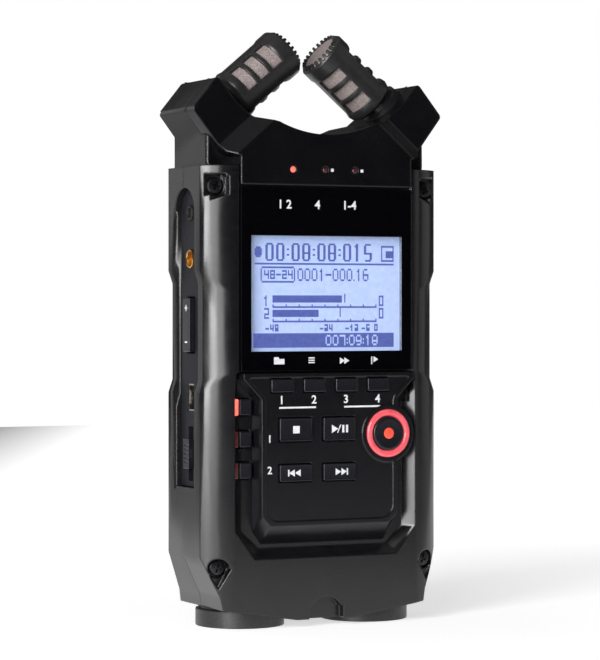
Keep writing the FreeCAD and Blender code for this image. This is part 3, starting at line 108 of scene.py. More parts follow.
bpy.ops.mesh.primitive_plane_add(size=1)
table = bpy.context.object
table.name = "table"
table.scale = (2.2, 1.72, 1)
table.location = (0, 0.24, 0)
bpy.ops.object.transform_apply(location=True, rotation=True, scale=True)
table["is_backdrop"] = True
table_paint = bpy.data.materials.new("table_paint")
table_paint.use_nodes = True
table_tree = table_paint.node_tree
table_surface = table_tree.nodes["Principled BSDF"]
table_surface.inputs["Roughness"].default_value = 0.6
table_surface.inputs["Emission Color"].default_value = (1, 1, 1, 1)
table_mottle = add_node(table_tree, "TexNoise", Scale=3)
table_tint = paint_ramp(table_tree, (0.86, 0.86, 0.87), (0.9, 0.9, 0.9))
table_place = add_node(table_tree, "TexCoord")
table_reach = add_node(table_tree, "VectorMath", "LENGTH")
table_glow = add_range(table_tree, 0.06, 0.4, 0.62, 0.92)
table_turn = add_node(table_tree, "VectorMath", "DOT_PRODUCT")
table_turn.inputs[1].default_value = (0.9, -0.43, 0)
table_side = add_range(table_tree, -0.22, -0.13, 0.05, 1.0)
table_ahead = add_node(table_tree, "VectorMath", "DOT_PRODUCT")
table_ahead.inputs[1].default_value = (0.438, -0.899, 0)
table_front = add_range(table_tree, 0.115, 0.19, 1.0, 0.03)
table_both = add_node(table_tree, "Math", "MULTIPLY")
table_power = add_node(table_tree, "Math", "MULTIPLY")
wire(table_tree, (table_mottle, "Fac", table_tint, "Fac"),
     (table_tint, "Color", table_surface, "Base Color"),
     (table_place, "Object", table_reach, 0), (table_reach, "Value", table_glow, "Value"),
     (table_place, "Object", table_turn, 0), (table_turn, "Value", table_side, "Value"),
     (table_place, "Object", table_ahead, 0), (table_ahead, "Value", table_front, "Value"),
     (table_side, "Result", table_both, 0), (table_front, "Result", table_both, 1),
     (table_glow, "Result", table_power, 0), (table_both, "Value", table_power, 1),
     (table_power, "Value", table_surface, "Emission Strength"))
table.data.materials.append(table_paint)

AIM = Vector((0, 0, 0.08))
# name, place in metres, width and height in metres, brightness of its face
SOFT_BOXES = (("left_front_box", (-0.77, -0.92, 0.3), (0.36, 1.1), 5.2),
              ("left_box", (-1.01, -0.65, 0.3), (0.36, 1.1), 14.0),
              ("top_box", (0, 0.1, 1.2), (1.2, 1.2), 0.2),
              ("back_left_box", (-0.6, 1.04, 0.4), (0.9, 1.1), 0.55),
              ("right_front_box", (0.92, -0.77, 0.3), (0.4, 1.1), 0.5),
              ("right_box", (1.19, -0.17, 0.35), (0.6, 1.0), 0.45))
for name, place, (width, height), brightness in SOFT_BOXES:
    bpy.ops.object.light_add(type="AREA", location=place)
    box = bpy.context.object
    box.name = name
    box.rotation_euler = (AIM - Vector(place)).to_track_quat("-Z", "Y").to_euler()
    box.data.shape = "RECTANGLE"
    box.data.size = width
    box.data.size_y = height
    box.data.energy = brightness * math.pi * width * height

room = bpy.data.worlds.new("room")
room.use_nodes = True
bpy.context.scene.world = room
room_tree = room.node_tree
room_light = room_tree.nodes["Background"]
room_light.inputs["Color"].default_value = (1, 1, 1, 1)
room_view = add_node(room_tree, "TexCoord")
room_front = add_node(room_tree, "VectorMath", "DOT_PRODUCT")
room_front.inputs[1].default_value = (0.42, -0.9, 0.1)
room_fade = add_range(room_tree, 0.35, 0.85, 0.05, 0.0)
room_seen = add_node(room_tree, "LightPath")
room_mix = add_node(room_tree, "Mix", B=1.0)
wire(room_tree, (room_view, "Generated", room_front, 0), (room_front, "Value", room_fade, "Value"),
     (room_fade, "Result", room_mix, "A"), (room_seen, "Is Camera Ray", room_mix, "Factor"),
     (room_mix, "Result", room_light, "Strength"))

# ---------------------------------------------------------------- body shells
# Two moulded shells that meet round the sides: black with a fine metallic paint, bevelled
# rails that crown a little, drawn in at the waist, every edge eased.  They screw together.
SOCKETS = {"metallic": "Metallic", "specular": "Specular IOR Level", "coat": "Coat Weight",
           "coat_roughness": "Coat Roughness", "glow": "Emission Strength", "ior": "IOR",
           "clear": "Transmission Weight", "inner_glow": "Subsurface Weight"}


def finish(name, dark, light, grain, rough, relief=0.0, stretch=(1, 1, 1), edge=0.0, **constants):
    """A surface finish: a fine grain in its colour and relief, slow clouds in its gloss."""
    material = bpy.data.materials.new(name)
    material.use_nodes = True
    tree = material.node_tree
    surface = tree.nodes["Principled BSDF"]
    place = add_node(tree, "TexCoord")
    spread = add_node(tree, "Mapping", Scale=stretch)
    fleck = add_node(tree, "TexNoise", Scale=grain, Detail=3)
    tint = paint_ramp(tree, dark, light)
    tint.color_ramp.elements[0].position = 0.3
    tint.color_ramp.elements[1].position = 0.7
    cloud = add_node(tree, "TexNoise", Scale=90, Detail=4)
    gloss = add_range(tree, 0.3, 0.7, *rough)
    wire(tree, (place, "Object", spread, "Vector"), (spread, "Vector", fleck, "Vector"),
         (fleck, "Fac", tint, "Fac"), (tint, "Color", surface, "Base Color"),
         (place, "Object", cloud, "Vector"), (cloud, "Fac", gloss, "Value"),
         (gloss, "Result", surface, "Roughness"))
    normal = None
    if edge:
        normal = add_node(tree, "Bevel", Radius=edge * MM)
        normal.samples = 6
    if relief:
        bump = add_node(tree, "Bump", Distance=relief * MM)
        wire(tree, (fleck, "Fac", bump, "Height"))
        if normal:
            wire(tree, (normal, "Normal", bump, "Normal"))
        normal = bump
    if normal:
        wire(tree, (normal, "Normal", surface, "Normal"))
    for word, value in constants.items():
        surface.inputs[SOCKETS[word]].default_value = value
    if constants.get("glow"):
        wire(tree, (tint, "Color", surface, "Emission Color"))
    return material


def take(piece):
    """Leaves this piece alone selected and active."""
    bpy.ops.object.select_all(action="DESELECT")
    piece.select_set(True)
    bpy.context.view_layer.objects.active = piece
    return piece


def open_all(piece):
    """Opens edit mode with all of this piece selected."""
    take(piece)
    bpy.ops.object.mode_set(mode="EDIT")
    bpy.ops.mesh.select_all(action="SELECT")


def settle(piece, name):
    """Names a new piece and moves its place into its mesh."""
    take(piece)
    bpy.ops.object.transform_apply(location=True, rotation=True, scale=True)
    piece.name = name
    return piece


def pick(piece, wanted, kind="FACE"):
    """Opens edit mode with only the wanted faces or edges selected, by centre and normal."""
    take(piece)
    bpy.ops.object.mode_set(mode="EDIT")
    bpy.ops.mesh.select_mode(type=kind)
    bpy.ops.mesh.select_all(action="DESELECT")
    mesh = bmesh.from_edit_mesh(piece.data)
    if kind == "FACE":
        for face in mesh.faces:
            face.select_set(bool(wanted(face.calc_center_median() / MM, face.normal)))
    else:
        for edge in mesh.edges:
            ends = [vertex.co / MM for vertex in edge.verts]
            edge.select_set(bool(wanted(*ends)))
    bmesh.update_edit_mesh(piece.data)


def close():
    """Leaves edit mode."""
    bpy.ops.object.mode_set(mode="OBJECT")


def add_modifier(piece, kind, **settings):
    """Adds one modifier and applies it."""
    take(piece)
    modifier = piece.modifiers.new(kind.lower(), kind)
    for word, value in settings.items():
        setattr(modifier, word, value)
    bpy.ops.object.modifier_apply(modifier=modifier.name)


def ease(piece, width, segments=2, angle=28, smooth=40):
    """Rounds every sharp edge by a width and shades the flats flat."""
    if width:
        add_modifier(piece, "BEVEL", width=width * MM, segments=segments, limit_method="ANGLE",
                     angle_limit=math.radians(angle), use_clamp_overlap=False)
    take(piece)
    bpy.ops.object.shade_smooth_by_angle(angle=math.radians(smooth))
    add_modifier(piece, "WEIGHTED_NORMAL", keep_sharp=True, weight=60)
    return piece


def cad_copy(name, node):
    """A copy of a CAD node with its loose triangles merged."""
    piece = bpy.data.objects.new(name, cad[node].data.copy())
    bpy.context.collection.objects.link(piece)
    piece.data.materials.clear()
    take(piece)
    bpy.ops.mesh.customdata_custom_splitnormals_clear()
    open_all(piece)
    bpy.ops.mesh.remove_doubles(threshold=0.002 * MM)
    close()
    return piece


def round_edges(piece, chosen, width, segments):
    """Rounds or chamfers the sharp edges that are chosen by their two ends."""
    take(piece)
    bpy.ops.object.mode_set(mode="EDIT")
    bpy.ops.mesh.select_mode(type="EDGE")
    bpy.ops.mesh.select_all(action="DESELECT")
    mesh = bmesh.from_edit_mesh(piece.data)
    for edge in mesh.edges:
        sharp = len(edge.link_faces) == 2 and edge.calc_face_angle() > 0.35
        one, two = (vertex.co / MM for vertex in edge.verts)
        edge.select_set(sharp and bool(chosen(one, two)))
    bmesh.update_edit_mesh(piece.data)
    bpy.ops.mesh.bevel(offset=width * MM, segments=segments, affect="EDGES", clamp_overlap=False)
    close()


def carve(piece, cutter):
    """Cuts a piece with another one, which is then thrown away."""
    add_modifier(piece, "BOOLEAN", operation="DIFFERENCE", object=cutter, solver="EXACT")
    bpy.data.objects.remove(cutter)


def outline_block(name, corners, front, back):
    """A block with an outline seen from the front, drawn corner by corner."""
    bpy.ops.mesh.primitive_circle_add(vertices=len(corners), fill_type="NGON")
    piece = bpy.context.object
    piece.name = name
    for vertex, (across, up) in zip(piece.data.vertices, corners):
        vertex.co = Vector((across, front, up)) * MM
    open_all(piece)
    bpy.ops.mesh.extrude_region_move(
        TRANSFORM_OT_translate={"value": (0, (back - front) * MM, 0)})
    bpy.ops.mesh.select_all(action="SELECT")
    bpy.ops.mesh.normals_make_consistent(inside=False)
    close()
    return piece


def place_piece(piece, material, slot, body, *nodes):
    """Gives a piece its finish and its body, and hides the CAD nodes that it stands for."""
    piece.data.materials.clear()
    piece.data.materials.append(material)
    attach(piece, body)
    if nodes:
        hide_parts(*nodes)
    return piece


def paint_node(node, material):
    """Gives a CAD node that stays its better material."""
    for holder in cad[node].material_slots:
        holder.material = material
    if not cad[node].material_slots:
        cad[node].data.materials.append(material)


def eased_copy(name, node, material, slot, body, width, segments=2):
    """A CAD node's copy with rounded edges, finished and placed in its stead."""
    return place_piece(ease(cad_copy(name, node), width, segments), material, slot, body, node)


case_paint = finish("case_paint", (0.0040, 0.0039, 0.0046), (0.0095, 0.0092, 0.0107), 2600,
                    (0.18, 0.26), 0.004, (0.12, 0.12, 1), edge=0.6, specular=0.6)
RAIL_INNER, RAIL_OUTER, WAIST = 26.5, 34.3, 33.3
RAIL_FRONT, RAIL_SIDE, WAIST_SIDE = -15.0, -10.7, -10.3
CROWN, CROWN_LINES = 0.7, (27.6, 28.8, 30.0, 31.2, 32.3, 33.2)
SCREW_POCKET, POCKET_FLOOR = ((33.7, 117.9), (28.5, 117.8), (28.5, 113.5), (33.7, 111.9)), -11.4
CHANNEL_BACK, CHANNEL_CHAMFER = 5.5, 1.3


def crown(piece, front, edge_full, edge_waist):
    """Swells the long bevelled rails of a shell between their edges."""
    sign = -1 if front < 0 else 1
    for level in CROWN_LINES:
        for side in (-1, 1):
            open_all(piece)
            bpy.ops.mesh.bisect(plane_co=(side * level * MM, 0, 0), plane_no=(1, 0, 0))
            close()
    for vertex in piece.data.vertices:
        x, y, z = vertex.co / MM
        along = abs(x) - RAIL_INNER
        if along <= 0.05 or y * sign < 5:
            continue
        for half, edge in ((RAIL_OUTER, edge_full), (WAIST, edge_waist)):
            share = along / (half - RAIL_INNER)
            depth = front + (edge - front) * share
            if share < 0.999 and abs(y - depth) < 0.02:
                lean = Vector((abs(front - edge), half - RAIL_INNER)).normalized()
                swell = CROWN * 4 * share * (1 - share)
                vertex.co.x += math.copysign(lean.x * swell * MM, x)
                vertex.co.y += sign * lean.y * swell * MM
                break


front_case = cad_copy("front_case", "front_shell")
crown(front_case, RAIL_FRONT, RAIL_SIDE, WAIST_SIDE)
for side in (-1, 1):
    corners = [(side * across, up) for across, up in SCREW_POCKET]
    carve(front_case, outline_block("pocket", corners, -17, POCKET_FLOOR))
ease(front_case, 0)
place_piece(front_case, case_paint, "case_black", "recorder", "front_shell")


def on_channel_back(one, two):
    """Whether an edge runs along the back of a side channel."""
    return all(abs(end.y - CHANNEL_BACK) < 0.02 and abs(end.x) > 33 for end in (one, two)) \
        and 36 < one.z < 115


rear_case = cad_copy("rear_case", "rear_shell")
round_edges(rear_case, on_channel_back, CHANNEL_CHAMFER, 1)
ease(rear_case, 0)
place_piece(rear_case, case_paint, "case_black", "recorder", "rear_shell")

# ---------------------------------------------------------------- display
# A gloss black acrylic window with a clear opening over the liquid crystal sheet, which
# glows pale blue and shows its digits, bars and scales as dots; its glow is dimmed towards the
# left and top edges, a painted shadow of the window's edge.
WINDOW_X, WINDOW_LOW, WINDOW_HIGH, WINDOW_FRONT, WINDOW_BACK = 24.8, 66.85, 114.5, -15.6, -14.4
VIEW_X, VIEW_LOW, VIEW_HIGH = 21.85, 71.95, 101.95


def lattice(name, columns, rows, level):
    """An upright sheet of cells between the given columns and rows, facing the front."""
    bpy.ops.mesh.primitive_grid_add(x_subdivisions=len(columns) - 1, y_subdivisions=len(rows) - 1,
                                    size=2)
    piece = bpy.context.object
    piece.name = name
    for vertex in piece.data.vertices:
        across = round((vertex.co.x + 1) / 2 * (len(columns) - 1))
        up = round((vertex.co.y + 1) / 2 * (len(rows) - 1))
        vertex.co = Vector((columns[across], level, rows[up])) * MM
    return piece


def thicken(piece, thickness, offset=-1):
    """Gives a sheet a thickness, to one side of it or to both."""
    add_modifier(piece, "SOLIDIFY", thickness=thickness * MM, offset=offset)


window = lattice("window_frame", (-WINDOW_X, -VIEW_X, VIEW_X, WINDOW_X),
                 (WINDOW_LOW, VIEW_LOW, VIEW_HIGH, WINDOW_HIGH), WINDOW_FRONT)
pick(window, lambda at, normal: abs(at.x) < 5 and 75 < at.z < 100)
bpy.ops.mesh.delete(type="FACE")
close()
thicken(window, WINDOW_FRONT - WINDOW_BACK, 1)
open_all(window)
bpy.ops.mesh.normals_make_consistent(inside=False)
close()
ease(window, 0.15)
window_acrylic = finish("window_acrylic", (0.0012, 0.0012, 0.0018), (0.0020, 0.0020, 0.0028),
                        1200, (0.03, 0.07), specular=0.5)
place_piece(window, window_acrylic, "gloss_black", "recorder", "display_window")


def slim_block(name, low, high, width=0.0, segments=2):
    """A block between two corners, its edges eased by a width."""
    centre = (Vector(low) + Vector(high)) / 2 * MM
    bpy.ops.mesh.primitive_cube_add(size=1, location=centre)
    piece = bpy.context.object
    piece.scale = (Vector(high) - Vector(low)) * MM
    settle(piece, name)
    if width:
        ease(piece, width, segments)
    return piece


PANE_GAP = 0.03
pane = slim_block("window_pane", (-VIEW_X + PANE_GAP, WINDOW_FRONT + 0.02, VIEW_LOW + PANE_GAP),
                  (VIEW_X - PANE_GAP, WINDOW_FRONT + 0.5, VIEW_HIGH - PANE_GAP), 0.06)
clear_acrylic = finish("clear_acrylic", (0.96, 0.97, 0.98), (1, 1, 1), 500, (0.0, 0.03),
                       clear=1.0, ior=1.2)
place_piece(pane, clear_acrylic, "gloss_black", "recorder")

CELLS_ACROSS, CELLS_UP, DOTS_FRONT = 128, 64, -14.34
SEGMENTS = {"0": "abcdef", "1": "bc", "2": "abged", "3": "abgcd", "4": "fgbc", "5": "afgcd",
            "6": "afgedc", "7": "abc", "8": "abcdefg", "9": "gfabcd", "-": "g"}


def digit_cells(text, left, top, width, height, stroke, gap):
    """The lit cells of a line of plain digits: columns from the left, rows from the top."""
    lit = set()
    for mark in text:
        if mark in ":.":
            rows = [top + height - 1] if mark == "." else [top + height // 3, top + 2 * height // 3]
            lit |= {(left + step, row) for row in rows for step in range(stroke)}
            left += stroke + gap
            continue
        middle = height // 2
        if mark == "1":
            stem = left + width // 2 - stroke // 2
            lit |= {(stem + step, top + row) for step in range(stroke) for row in range(height)}
            lit.add((stem - 1, top + 1))
            left += width + gap
            continue
        for column in range(width):
            for row in range(height):
                upper = row <= middle
                edge = column < stroke or column >= width - stroke
                lines = SEGMENTS.get(mark, "")
                side = ("f" if upper else "e") if column < stroke else ("b" if upper else "c")
                corner = column in (0, width - 1) and row in (0, height - 1) and width > 4
                if corner and mark in "0689235":
                    continue
                if (edge and side in lines or row == 0 and "a" in lines
                        or row == middle and "g" in lines
                        or row == height - 1 and "d" in lines):
                    lit.add((left + column, top + row))
        left += width + gap
    return lit


def cell_block(left, top, right, low):
    """The cells of a filled rectangle, its last column and row among them."""
    return {(column, row) for column in range(left, right + 1) for row in range(top, low + 1)}


lit = digit_cells("00:08:08:015", 13, 4, 7, 10, 2, 2)
lit |= cell_block(5, 6, 8, 11) | cell_block(4, 7, 9, 10)
lit |= cell_block(112, 5, 122, 13) - cell_block(113, 6, 121, 12) | cell_block(116, 8, 121, 11)
lit |= cell_block(4, 15, 122, 15)
lit |= cell_block(10, 25, 36, 25) | cell_block(10, 17, 36, 17) | cell_block(9, 18, 9, 24)
lit |= cell_block(37, 18, 37, 24) | digit_cells("48-24", 12, 19, 4, 5, 1, 1)
lit |= digit_cells("0001-000.16", 40, 18, 5, 7, 1, 1)
lit |= digit_cells("1", 12, 33, 2, 6, 1, 1) | digit_cells("2", 12, 40, 4, 6, 1, 1)
lit |= cell_block(19, 33, 77, 36) | cell_block(80, 32, 80, 36)
lit |= cell_block(19, 41, 57, 44) | cell_block(76, 40, 76, 44)
for row in (39, 47):
    lit |= cell_block(19, row, 107, row)
    lit |= {(column, row - 1) for column in range(19, 108, 11)}
for row in (33, 40):
    lit |= cell_block(110, row, 113, row + 5) - cell_block(111, row + 1, 112, row + 4)
for text, left in (("-48", 13), ("-24", 59), ("-12", 81), ("-6", 95), ("0", 106)):
    lit |= digit_cells(text, left, 49, 3, 4, 1, 1)
lit |= cell_block(3, 54, 122, 61) - digit_cells("007:09:18", 64, 55, 5, 6, 1, 1)
cell = 2 * VIEW_X / CELLS_ACROSS
rise = (VIEW_HIGH - VIEW_LOW) / CELLS_UP
dots = lattice("lcd_dots", [-VIEW_X + cell * step for step in range(CELLS_ACROSS + 1)],
               [VIEW_LOW + rise * step for step in range(CELLS_UP + 1)], DOTS_FRONT)
pick(dots, lambda at, normal:
     (int((at.x + VIEW_X) / cell), int((VIEW_HIGH - at.z) / rise)) not in lit)
bpy.ops.mesh.delete(type="FACE")
bpy.ops.mesh.select_all(action="SELECT")
bpy.ops.mesh.dissolve_limited(angle_limit=0.01)
close()
thicken(dots, 0.03, 1)
lcd_ink = finish("lcd_ink", (0.070, 0.095, 0.330), (0.090, 0.120, 0.380), 900, (0.4, 0.5),
                 glow=0.55)
place_piece(dots, lcd_ink, "lcd", "recorder")

sheet_low, sheet_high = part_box("lcd_glass")
lcd = slim_block("lcd_sheet", sheet_low / MM, sheet_high / MM, 0.12)
lcd_light = finish("lcd_light", (0.335, 0.425, 0.65), (0.38, 0.47, 0.71), 700, (0.3, 0.4), glow=0.46)
# The glow fades towards the left and top edges: painted shadow of the window edge over the sheet.
lcd_tree = lcd_light.node_tree
lcd_place = add_node(lcd_tree, "TexCoord")
lcd_axes = add_node(lcd_tree, "SeparateXYZ")
lcd_left_painted_shade = add_range(lcd_tree, -VIEW_X * MM, (-VIEW_X + 4.5) * MM, 0.22, 0.82)
lcd_top_painted_shade = add_range(lcd_tree, VIEW_HIGH * MM, (VIEW_HIGH - 3.2) * MM, 0.4, 1.0)
lcd_painted_shade = add_node(lcd_tree, "Math", "MULTIPLY")
wire(lcd_tree, (lcd_place, "Object", lcd_axes, "Vector"), (lcd_axes, "X", lcd_left_painted_shade, "Value"),
     (lcd_axes, "Z", lcd_top_painted_shade, "Value"), (lcd_left_painted_shade, "Result", lcd_painted_shade, 0),
     (lcd_top_painted_shade, "Result", lcd_painted_shade, 1),
     (lcd_painted_shade, "Value", lcd_tree.nodes["Principled BSDF"], "Emission Strength"))
place_piece(lcd, lcd_light, "lcd", "recorder", "lcd_glass")
moulding = finish("inner_moulding", (0.010, 0.010, 0.011), (0.018, 0.018, 0.020), 900, (0.5, 0.6),
                  0.01)
paint_node("lcd_frame", moulding)

# ---------------------------------------------------------------- printed marks
# White screen print: plain numbers and icons, a thin layer on the face that carries it.
# It glows a little: painted light that makes it brighter than the lamps leave it.
print_white = finish("print_white", (0.62, 0.62, 0.64), (0.78, 0.78, 0.80), 1500, (0.45, 0.6),
                     glow=0.12)
FACINGS = {"front": (90, 0, 0), "left": (90, 0, -90), "right": (90, 0, 90), "back": (90, 0, 180)}
PRINT = 0.03


def numbers(name, lines, facing):
    """Plain numbers as one piece: each line is its text, its centre and its height."""
    parts = []
    for text, centre, height in lines:
        bpy.ops.object.text_add()
        word = bpy.context.object
        word.data.body = text
        word.data.align_x = "CENTER"
        word.data.align_y = "CENTER"
        word.data.size = height / 0.7 * MM
        word.data.extrude = PRINT * MM / 2
        word.data.offset = 0.03 * height * MM
        word.data.resolution_u = 3
        take(word)
        bpy.ops.object.convert(target="MESH")
        word.rotation_euler = [math.radians(turn) for turn in FACINGS[facing]]
        word.location = Vector(centre) * MM
        parts.append(settle(word, name))
    return join(name, parts)


def join(name, parts):
    """Makes several pieces one."""
    take(parts[0])
    for part in parts:
        part.select_set(True)
    if len(parts) > 1:
        bpy.ops.object.join()
    parts[0].name = name
    return parts[0]


def marks(name, shapes, facing):
    """Printed shapes as one piece: bars, discs, rings and wedges, by centre and size."""
    parts = []
    for kind, centre, *sizes in shapes:
        turn = 0
        if kind == "bar":
            bpy.ops.mesh.primitive_plane_add(size=1)
            bpy.context.object.scale = (sizes[0] * MM, sizes[1] * MM, 1)
            turn = sizes[2] if len(sizes) > 2 else 0
        elif kind == "wedge":
            bpy.ops.mesh.primitive_circle_add(vertices=3, fill_type="NGON", radius=sizes[0] * MM)
            turn = sizes[1]
        elif kind == "disc":
            bpy.ops.mesh.primitive_circle_add(vertices=24, fill_type="NGON", radius=sizes[0] * MM)
        else:
            bpy.ops.mesh.primitive_circle_add(vertices=32, fill_type="NGON", radius=sizes[0] * MM)
            bpy.ops.object.mode_set(mode="EDIT")
            bpy.ops.mesh.select_all(action="SELECT")
            bpy.ops.mesh.inset(thickness=sizes[1] * MM)
            bpy.ops.mesh.delete(type="FACE")
            if len(sizes) > 2:
                bpy.ops.mesh.select_all(action="SELECT")
                bpy.ops.mesh.bisect(plane_co=(0, 0, 0), plane_no=(0, -1, 0), clear_inner=False,
                                    clear_outer=True)
            close()
        part = bpy.context.object
        take(part)
        part.rotation_euler = (0, 0, math.radians(turn))
        bpy.ops.object.transform_apply(location=True, rotation=True, scale=True)
        thicken(part, PRINT, 0)
        part.rotation_euler = [math.radians(angle) for angle in FACINGS[facing]]
        part.location = Vector(centre) * MM
        parts.append(settle(part, name))
    return join(name, parts)


NUMBER_Z, LABEL_Z = 110.0, 69.4
window_print = numbers("window_numbers", [
    (text, (across, WINDOW_FRONT, NUMBER_Z), 2.2)
    for text, across in (("1 2", -12.4), ("4", -2.9), ("1-4", 6.4))], "front")
place_piece(window_print, print_white, "gloss_black", "recorder")
soft_labels = marks("window_icons", [
    (kind, (across, WINDOW_FRONT, LABEL_Z + rise_by), *sizes)
    for kind, across, rise_by, *sizes in (
        ("bar", -14.0, -0.1, 3.0, 1.4), ("bar", -14.8, 0.8, 1.4, 0.5),
        ("bar", -4.65, 0.8, 1.8, 0.32), ("bar", -4.65, 0.2, 1.8, 0.32),
        ("bar", -4.65, -0.4, 1.8, 0.32), ("wedge", 4.1, 0, 1.0, -90), ("wedge", 5.4, 0, 1.0, -90),
        ("bar", 13.0, 0, 0.35, 2.0), ("wedge", 14.0, 0.3, 0.9, -90))], "front")
place_piece(soft_labels, print_white, "gloss_black", "recorder")

# ---------------------------------------------------------------- key panel
# The raised panel that the keys come through: satin black, a fine border inside its edge, its
# numbers and lines in white print.
PANEL_FRONT, FIELD_DEPTH, BOSS_RADIUS = -17.3, 0.22, 7.6
REC_X, REC_Z = 17.0, 50.2
FACE = PANEL_FRONT + FIELD_DEPTH
FIELD = [(-18.5, 30.2), (-16.4, 28.0), (16.4, 28.0), (18.5, 30.2), (18.5, 59.9), (23.6, 65.2),
         (-23.6, 65.2), (-18.5, 59.9)]
panel = cad_copy("key_plate", "key_panel")
field = outline_block("panel_field", FIELD, PANEL_FRONT - 0.5, FACE)
pick(field, lambda one, two: abs(one.x - two.x) < 0.01 and abs(one.z - two.z) < 0.01, "EDGE")
bpy.ops.mesh.bevel(offset=1.2 * MM, segments=3, affect="EDGES")
close()
bpy.ops.mesh.primitive_cylinder_add(vertices=48, radius=BOSS_RADIUS * MM, depth=2 * MM,
                                    location=(REC_X * MM, -17 * MM, REC_Z * MM),
                                    rotation=(math.radians(90), 0, 0))
carve(field, settle(bpy.context.object, "boss_keep"))
carve(panel, field)
ease(panel, 0)
panel_plastic = finish("panel_plastic", (0.0040, 0.0040, 0.0052), (0.0075, 0.0075, 0.0092), 3000,
                       (0.16, 0.24), 0.003, edge=0.45, specular=0.5)
place_piece(panel, panel_plastic, "gloss_black", "recorder", "key_panel")
panel_numbers = numbers("panel_numbers", [
    (text, (across, FACE, level), height)
    for text, across, level, height in (
        ("1", -14.0, 59.3, 2.1), ("2", -4.65, 59.3, 2.1), ("3", 4.65, 59.3, 2.1),
        ("4", 14.0, 59.3, 2.1), ("1", -17.4, 49.3, 1.9), ("2", -17.4, 41.2, 1.9))], "front")
place_piece(panel_numbers, print_white, "gloss_black", "recorder")
panel_lines = marks("panel_lines", [("bar", (across, FACE, 57.4), 10.6, 0.45)
                                    for across in (-9.4, 9.4)], "front")
place_piece(panel_lines, print_white, "gloss_black", "recorder")

# ---------------------------------------------------------------- keys on the panel
# Moulded keys with dished tops, each on its own rubber dome behind the panel, their icons
# printed in white.
key_plastic = finish("key_plastic", (0.0055, 0.0057, 0.0085), (0.009, 0.0094, 0.0135), 2800,
                     (0.22, 0.30), 0.004, specular=0.5)


def dished_key(key, dish):
    """The CAD key with its front face drawn in a little and every edge rounded."""
    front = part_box(key)[0].y / MM
    cap = cad_copy(key + "_cap", key)
    pick(cap, lambda at, normal: normal.y < -0.99 and abs(at.y - front) < 0.02)
    bpy.ops.mesh.inset(thickness=0.5 * MM, depth=0)
    bpy.ops.transform.translate(value=(0, dish * MM, 0))
    close()
    place_piece(ease(cap, 0.35, 3, 24), key_plastic, "key_black", key, key)


# each mark: its kind, how far it stands from the key's middle, its sizes
ICONS = {"stop_key": (("bar", 0, 1.9, 1.9),),
         "play_key": (("wedge", -1.7, 1.25, -90), ("bar", -0.2, 0.3, 2.3, -25),
                      ("bar", 1.0, 0.62, 2.0), ("bar", 2.1, 0.62, 2.0)),
         "rewind_key": (("bar", -2.2, 0.4, 1.7), ("wedge", -1.0, 1.05, 90),
                        ("wedge", 0.7, 1.05, 90)),
         "forward_key": (("bar", 2.2, 0.4, 1.7), ("wedge", 1.0, 1.05, -90),
                         ("wedge", -0.7, 1.05, -90))}
ICON_DISH, KEY_DISH = 0.12, 0.1
for key, icon in ICONS.items():
    low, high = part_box(key)
    middle = (low + high) / 2 / MM
    dished_key(key, ICON_DISH)
    sign = marks(key + "_icon", [
        (kind, (middle.x + along, low.y / MM + ICON_DISH, middle.z), *sizes)
        for kind, along, *sizes in icon], "front")
    place_piece(sign, print_white, "key_black", key)
for number in (1, 2, 3, 4):
    dished_key(f"track_key_{number}", KEY_DISH)

# ---------------------------------------------------------------- record key
# A round key in a clear red ring that a lamp lights from behind; its dot is red print with a
# faint glow of painted light.
RING_OUT, RING_IN, RING_BACK = 6.3, 4.65, 12.45


AXES = {"front": (90, 0), "back": (-90, 0), "left": (0, -90), "right": (0, 90), "up": (0, 0)}


def turned(name, profile, centre, axis, steps=64):
    """A profile of radii and heights spun round a named axis, or one leant over to the right."""
    bpy.ops.mesh.primitive_circle_add(vertices=3, fill_type="NOTHING")
    piece = bpy.context.object
    take(piece)
    bpy.ops.object.mode_set(mode="EDIT")
    mesh = bmesh.from_edit_mesh(piece.data)
    bmesh.ops.delete(mesh, geom=list(mesh.verts), context="VERTS")
    points = [mesh.verts.new((radius * MM, 0, height * MM)) for radius, height in profile]
    for one, two in zip(points, points[1:]):
        mesh.edges.new((one, two))
    bmesh.update_edit_mesh(piece.data)
    bpy.ops.mesh.select_all(action="SELECT")
    bpy.ops.mesh.spin(steps=steps, angle=math.tau, center=(0, 0, 0), axis=(0, 0, 1))
    bpy.ops.mesh.select_all(action="SELECT")
    bpy.ops.mesh.remove_doubles(threshold=0.001 * MM)
    bpy.ops.mesh.normals_make_consistent(inside=False)
    close()
    roll, pitch = AXES[axis] if axis in AXES else (0, axis)
    piece.rotation_euler = (math.radians(roll), math.radians(pitch), 0)
    piece.location = Vector(centre) * MM
    settle(piece, name)
    bpy.ops.object.shade_smooth_by_angle(angle=math.radians(35))
    return piece


ring_profile = [(RING_OUT, RING_BACK), (RING_OUT, 17.35), (RING_OUT - 0.1, 17.62),
                (RING_OUT - 0.35, 17.82), (RING_OUT - 0.7, 17.9), (RING_IN + 0.75, 17.9),
                (RING_IN + 0.35, 17.8), (RING_IN + 0.1, 17.55), (RING_IN, 17.2), (RING_IN, 13.95),
                (RING_IN + 0.6, 13.9), (RING_IN + 0.6, RING_BACK), (RING_OUT, RING_BACK)]
ring = turned("rec_ring_lens", ring_profile, (REC_X, 0, REC_Z), "front")
ring_lens = finish("ring_lens", (0.62, 0.055, 0.075), (0.80, 0.10, 0.12), 700, (0.14, 0.22),
                   glow=0.55, coat=0.5, coat_roughness=0.08, inner_glow=0.2)
place_piece(ring, ring_lens, "red_ring", "recorder", "rec_ring")
rec_profile = [(0, 17.72), (2.2, 17.75), (3.5, 17.84), (3.95, 17.88), (4.25, 17.82), (4.44, 17.65),
               (4.5, 17.4), (4.5, 13.8), (5.1, 13.78), (5.1, 12.97), (3.5, 12.95), (3.5, 9.6), (0, 9.6)]
rec_cap = turned("rec_key_cap", rec_profile, (REC_X, 0, REC_Z), "front")
place_piece(rec_cap, key_plastic, "key_black", "rec_key", "rec_key")
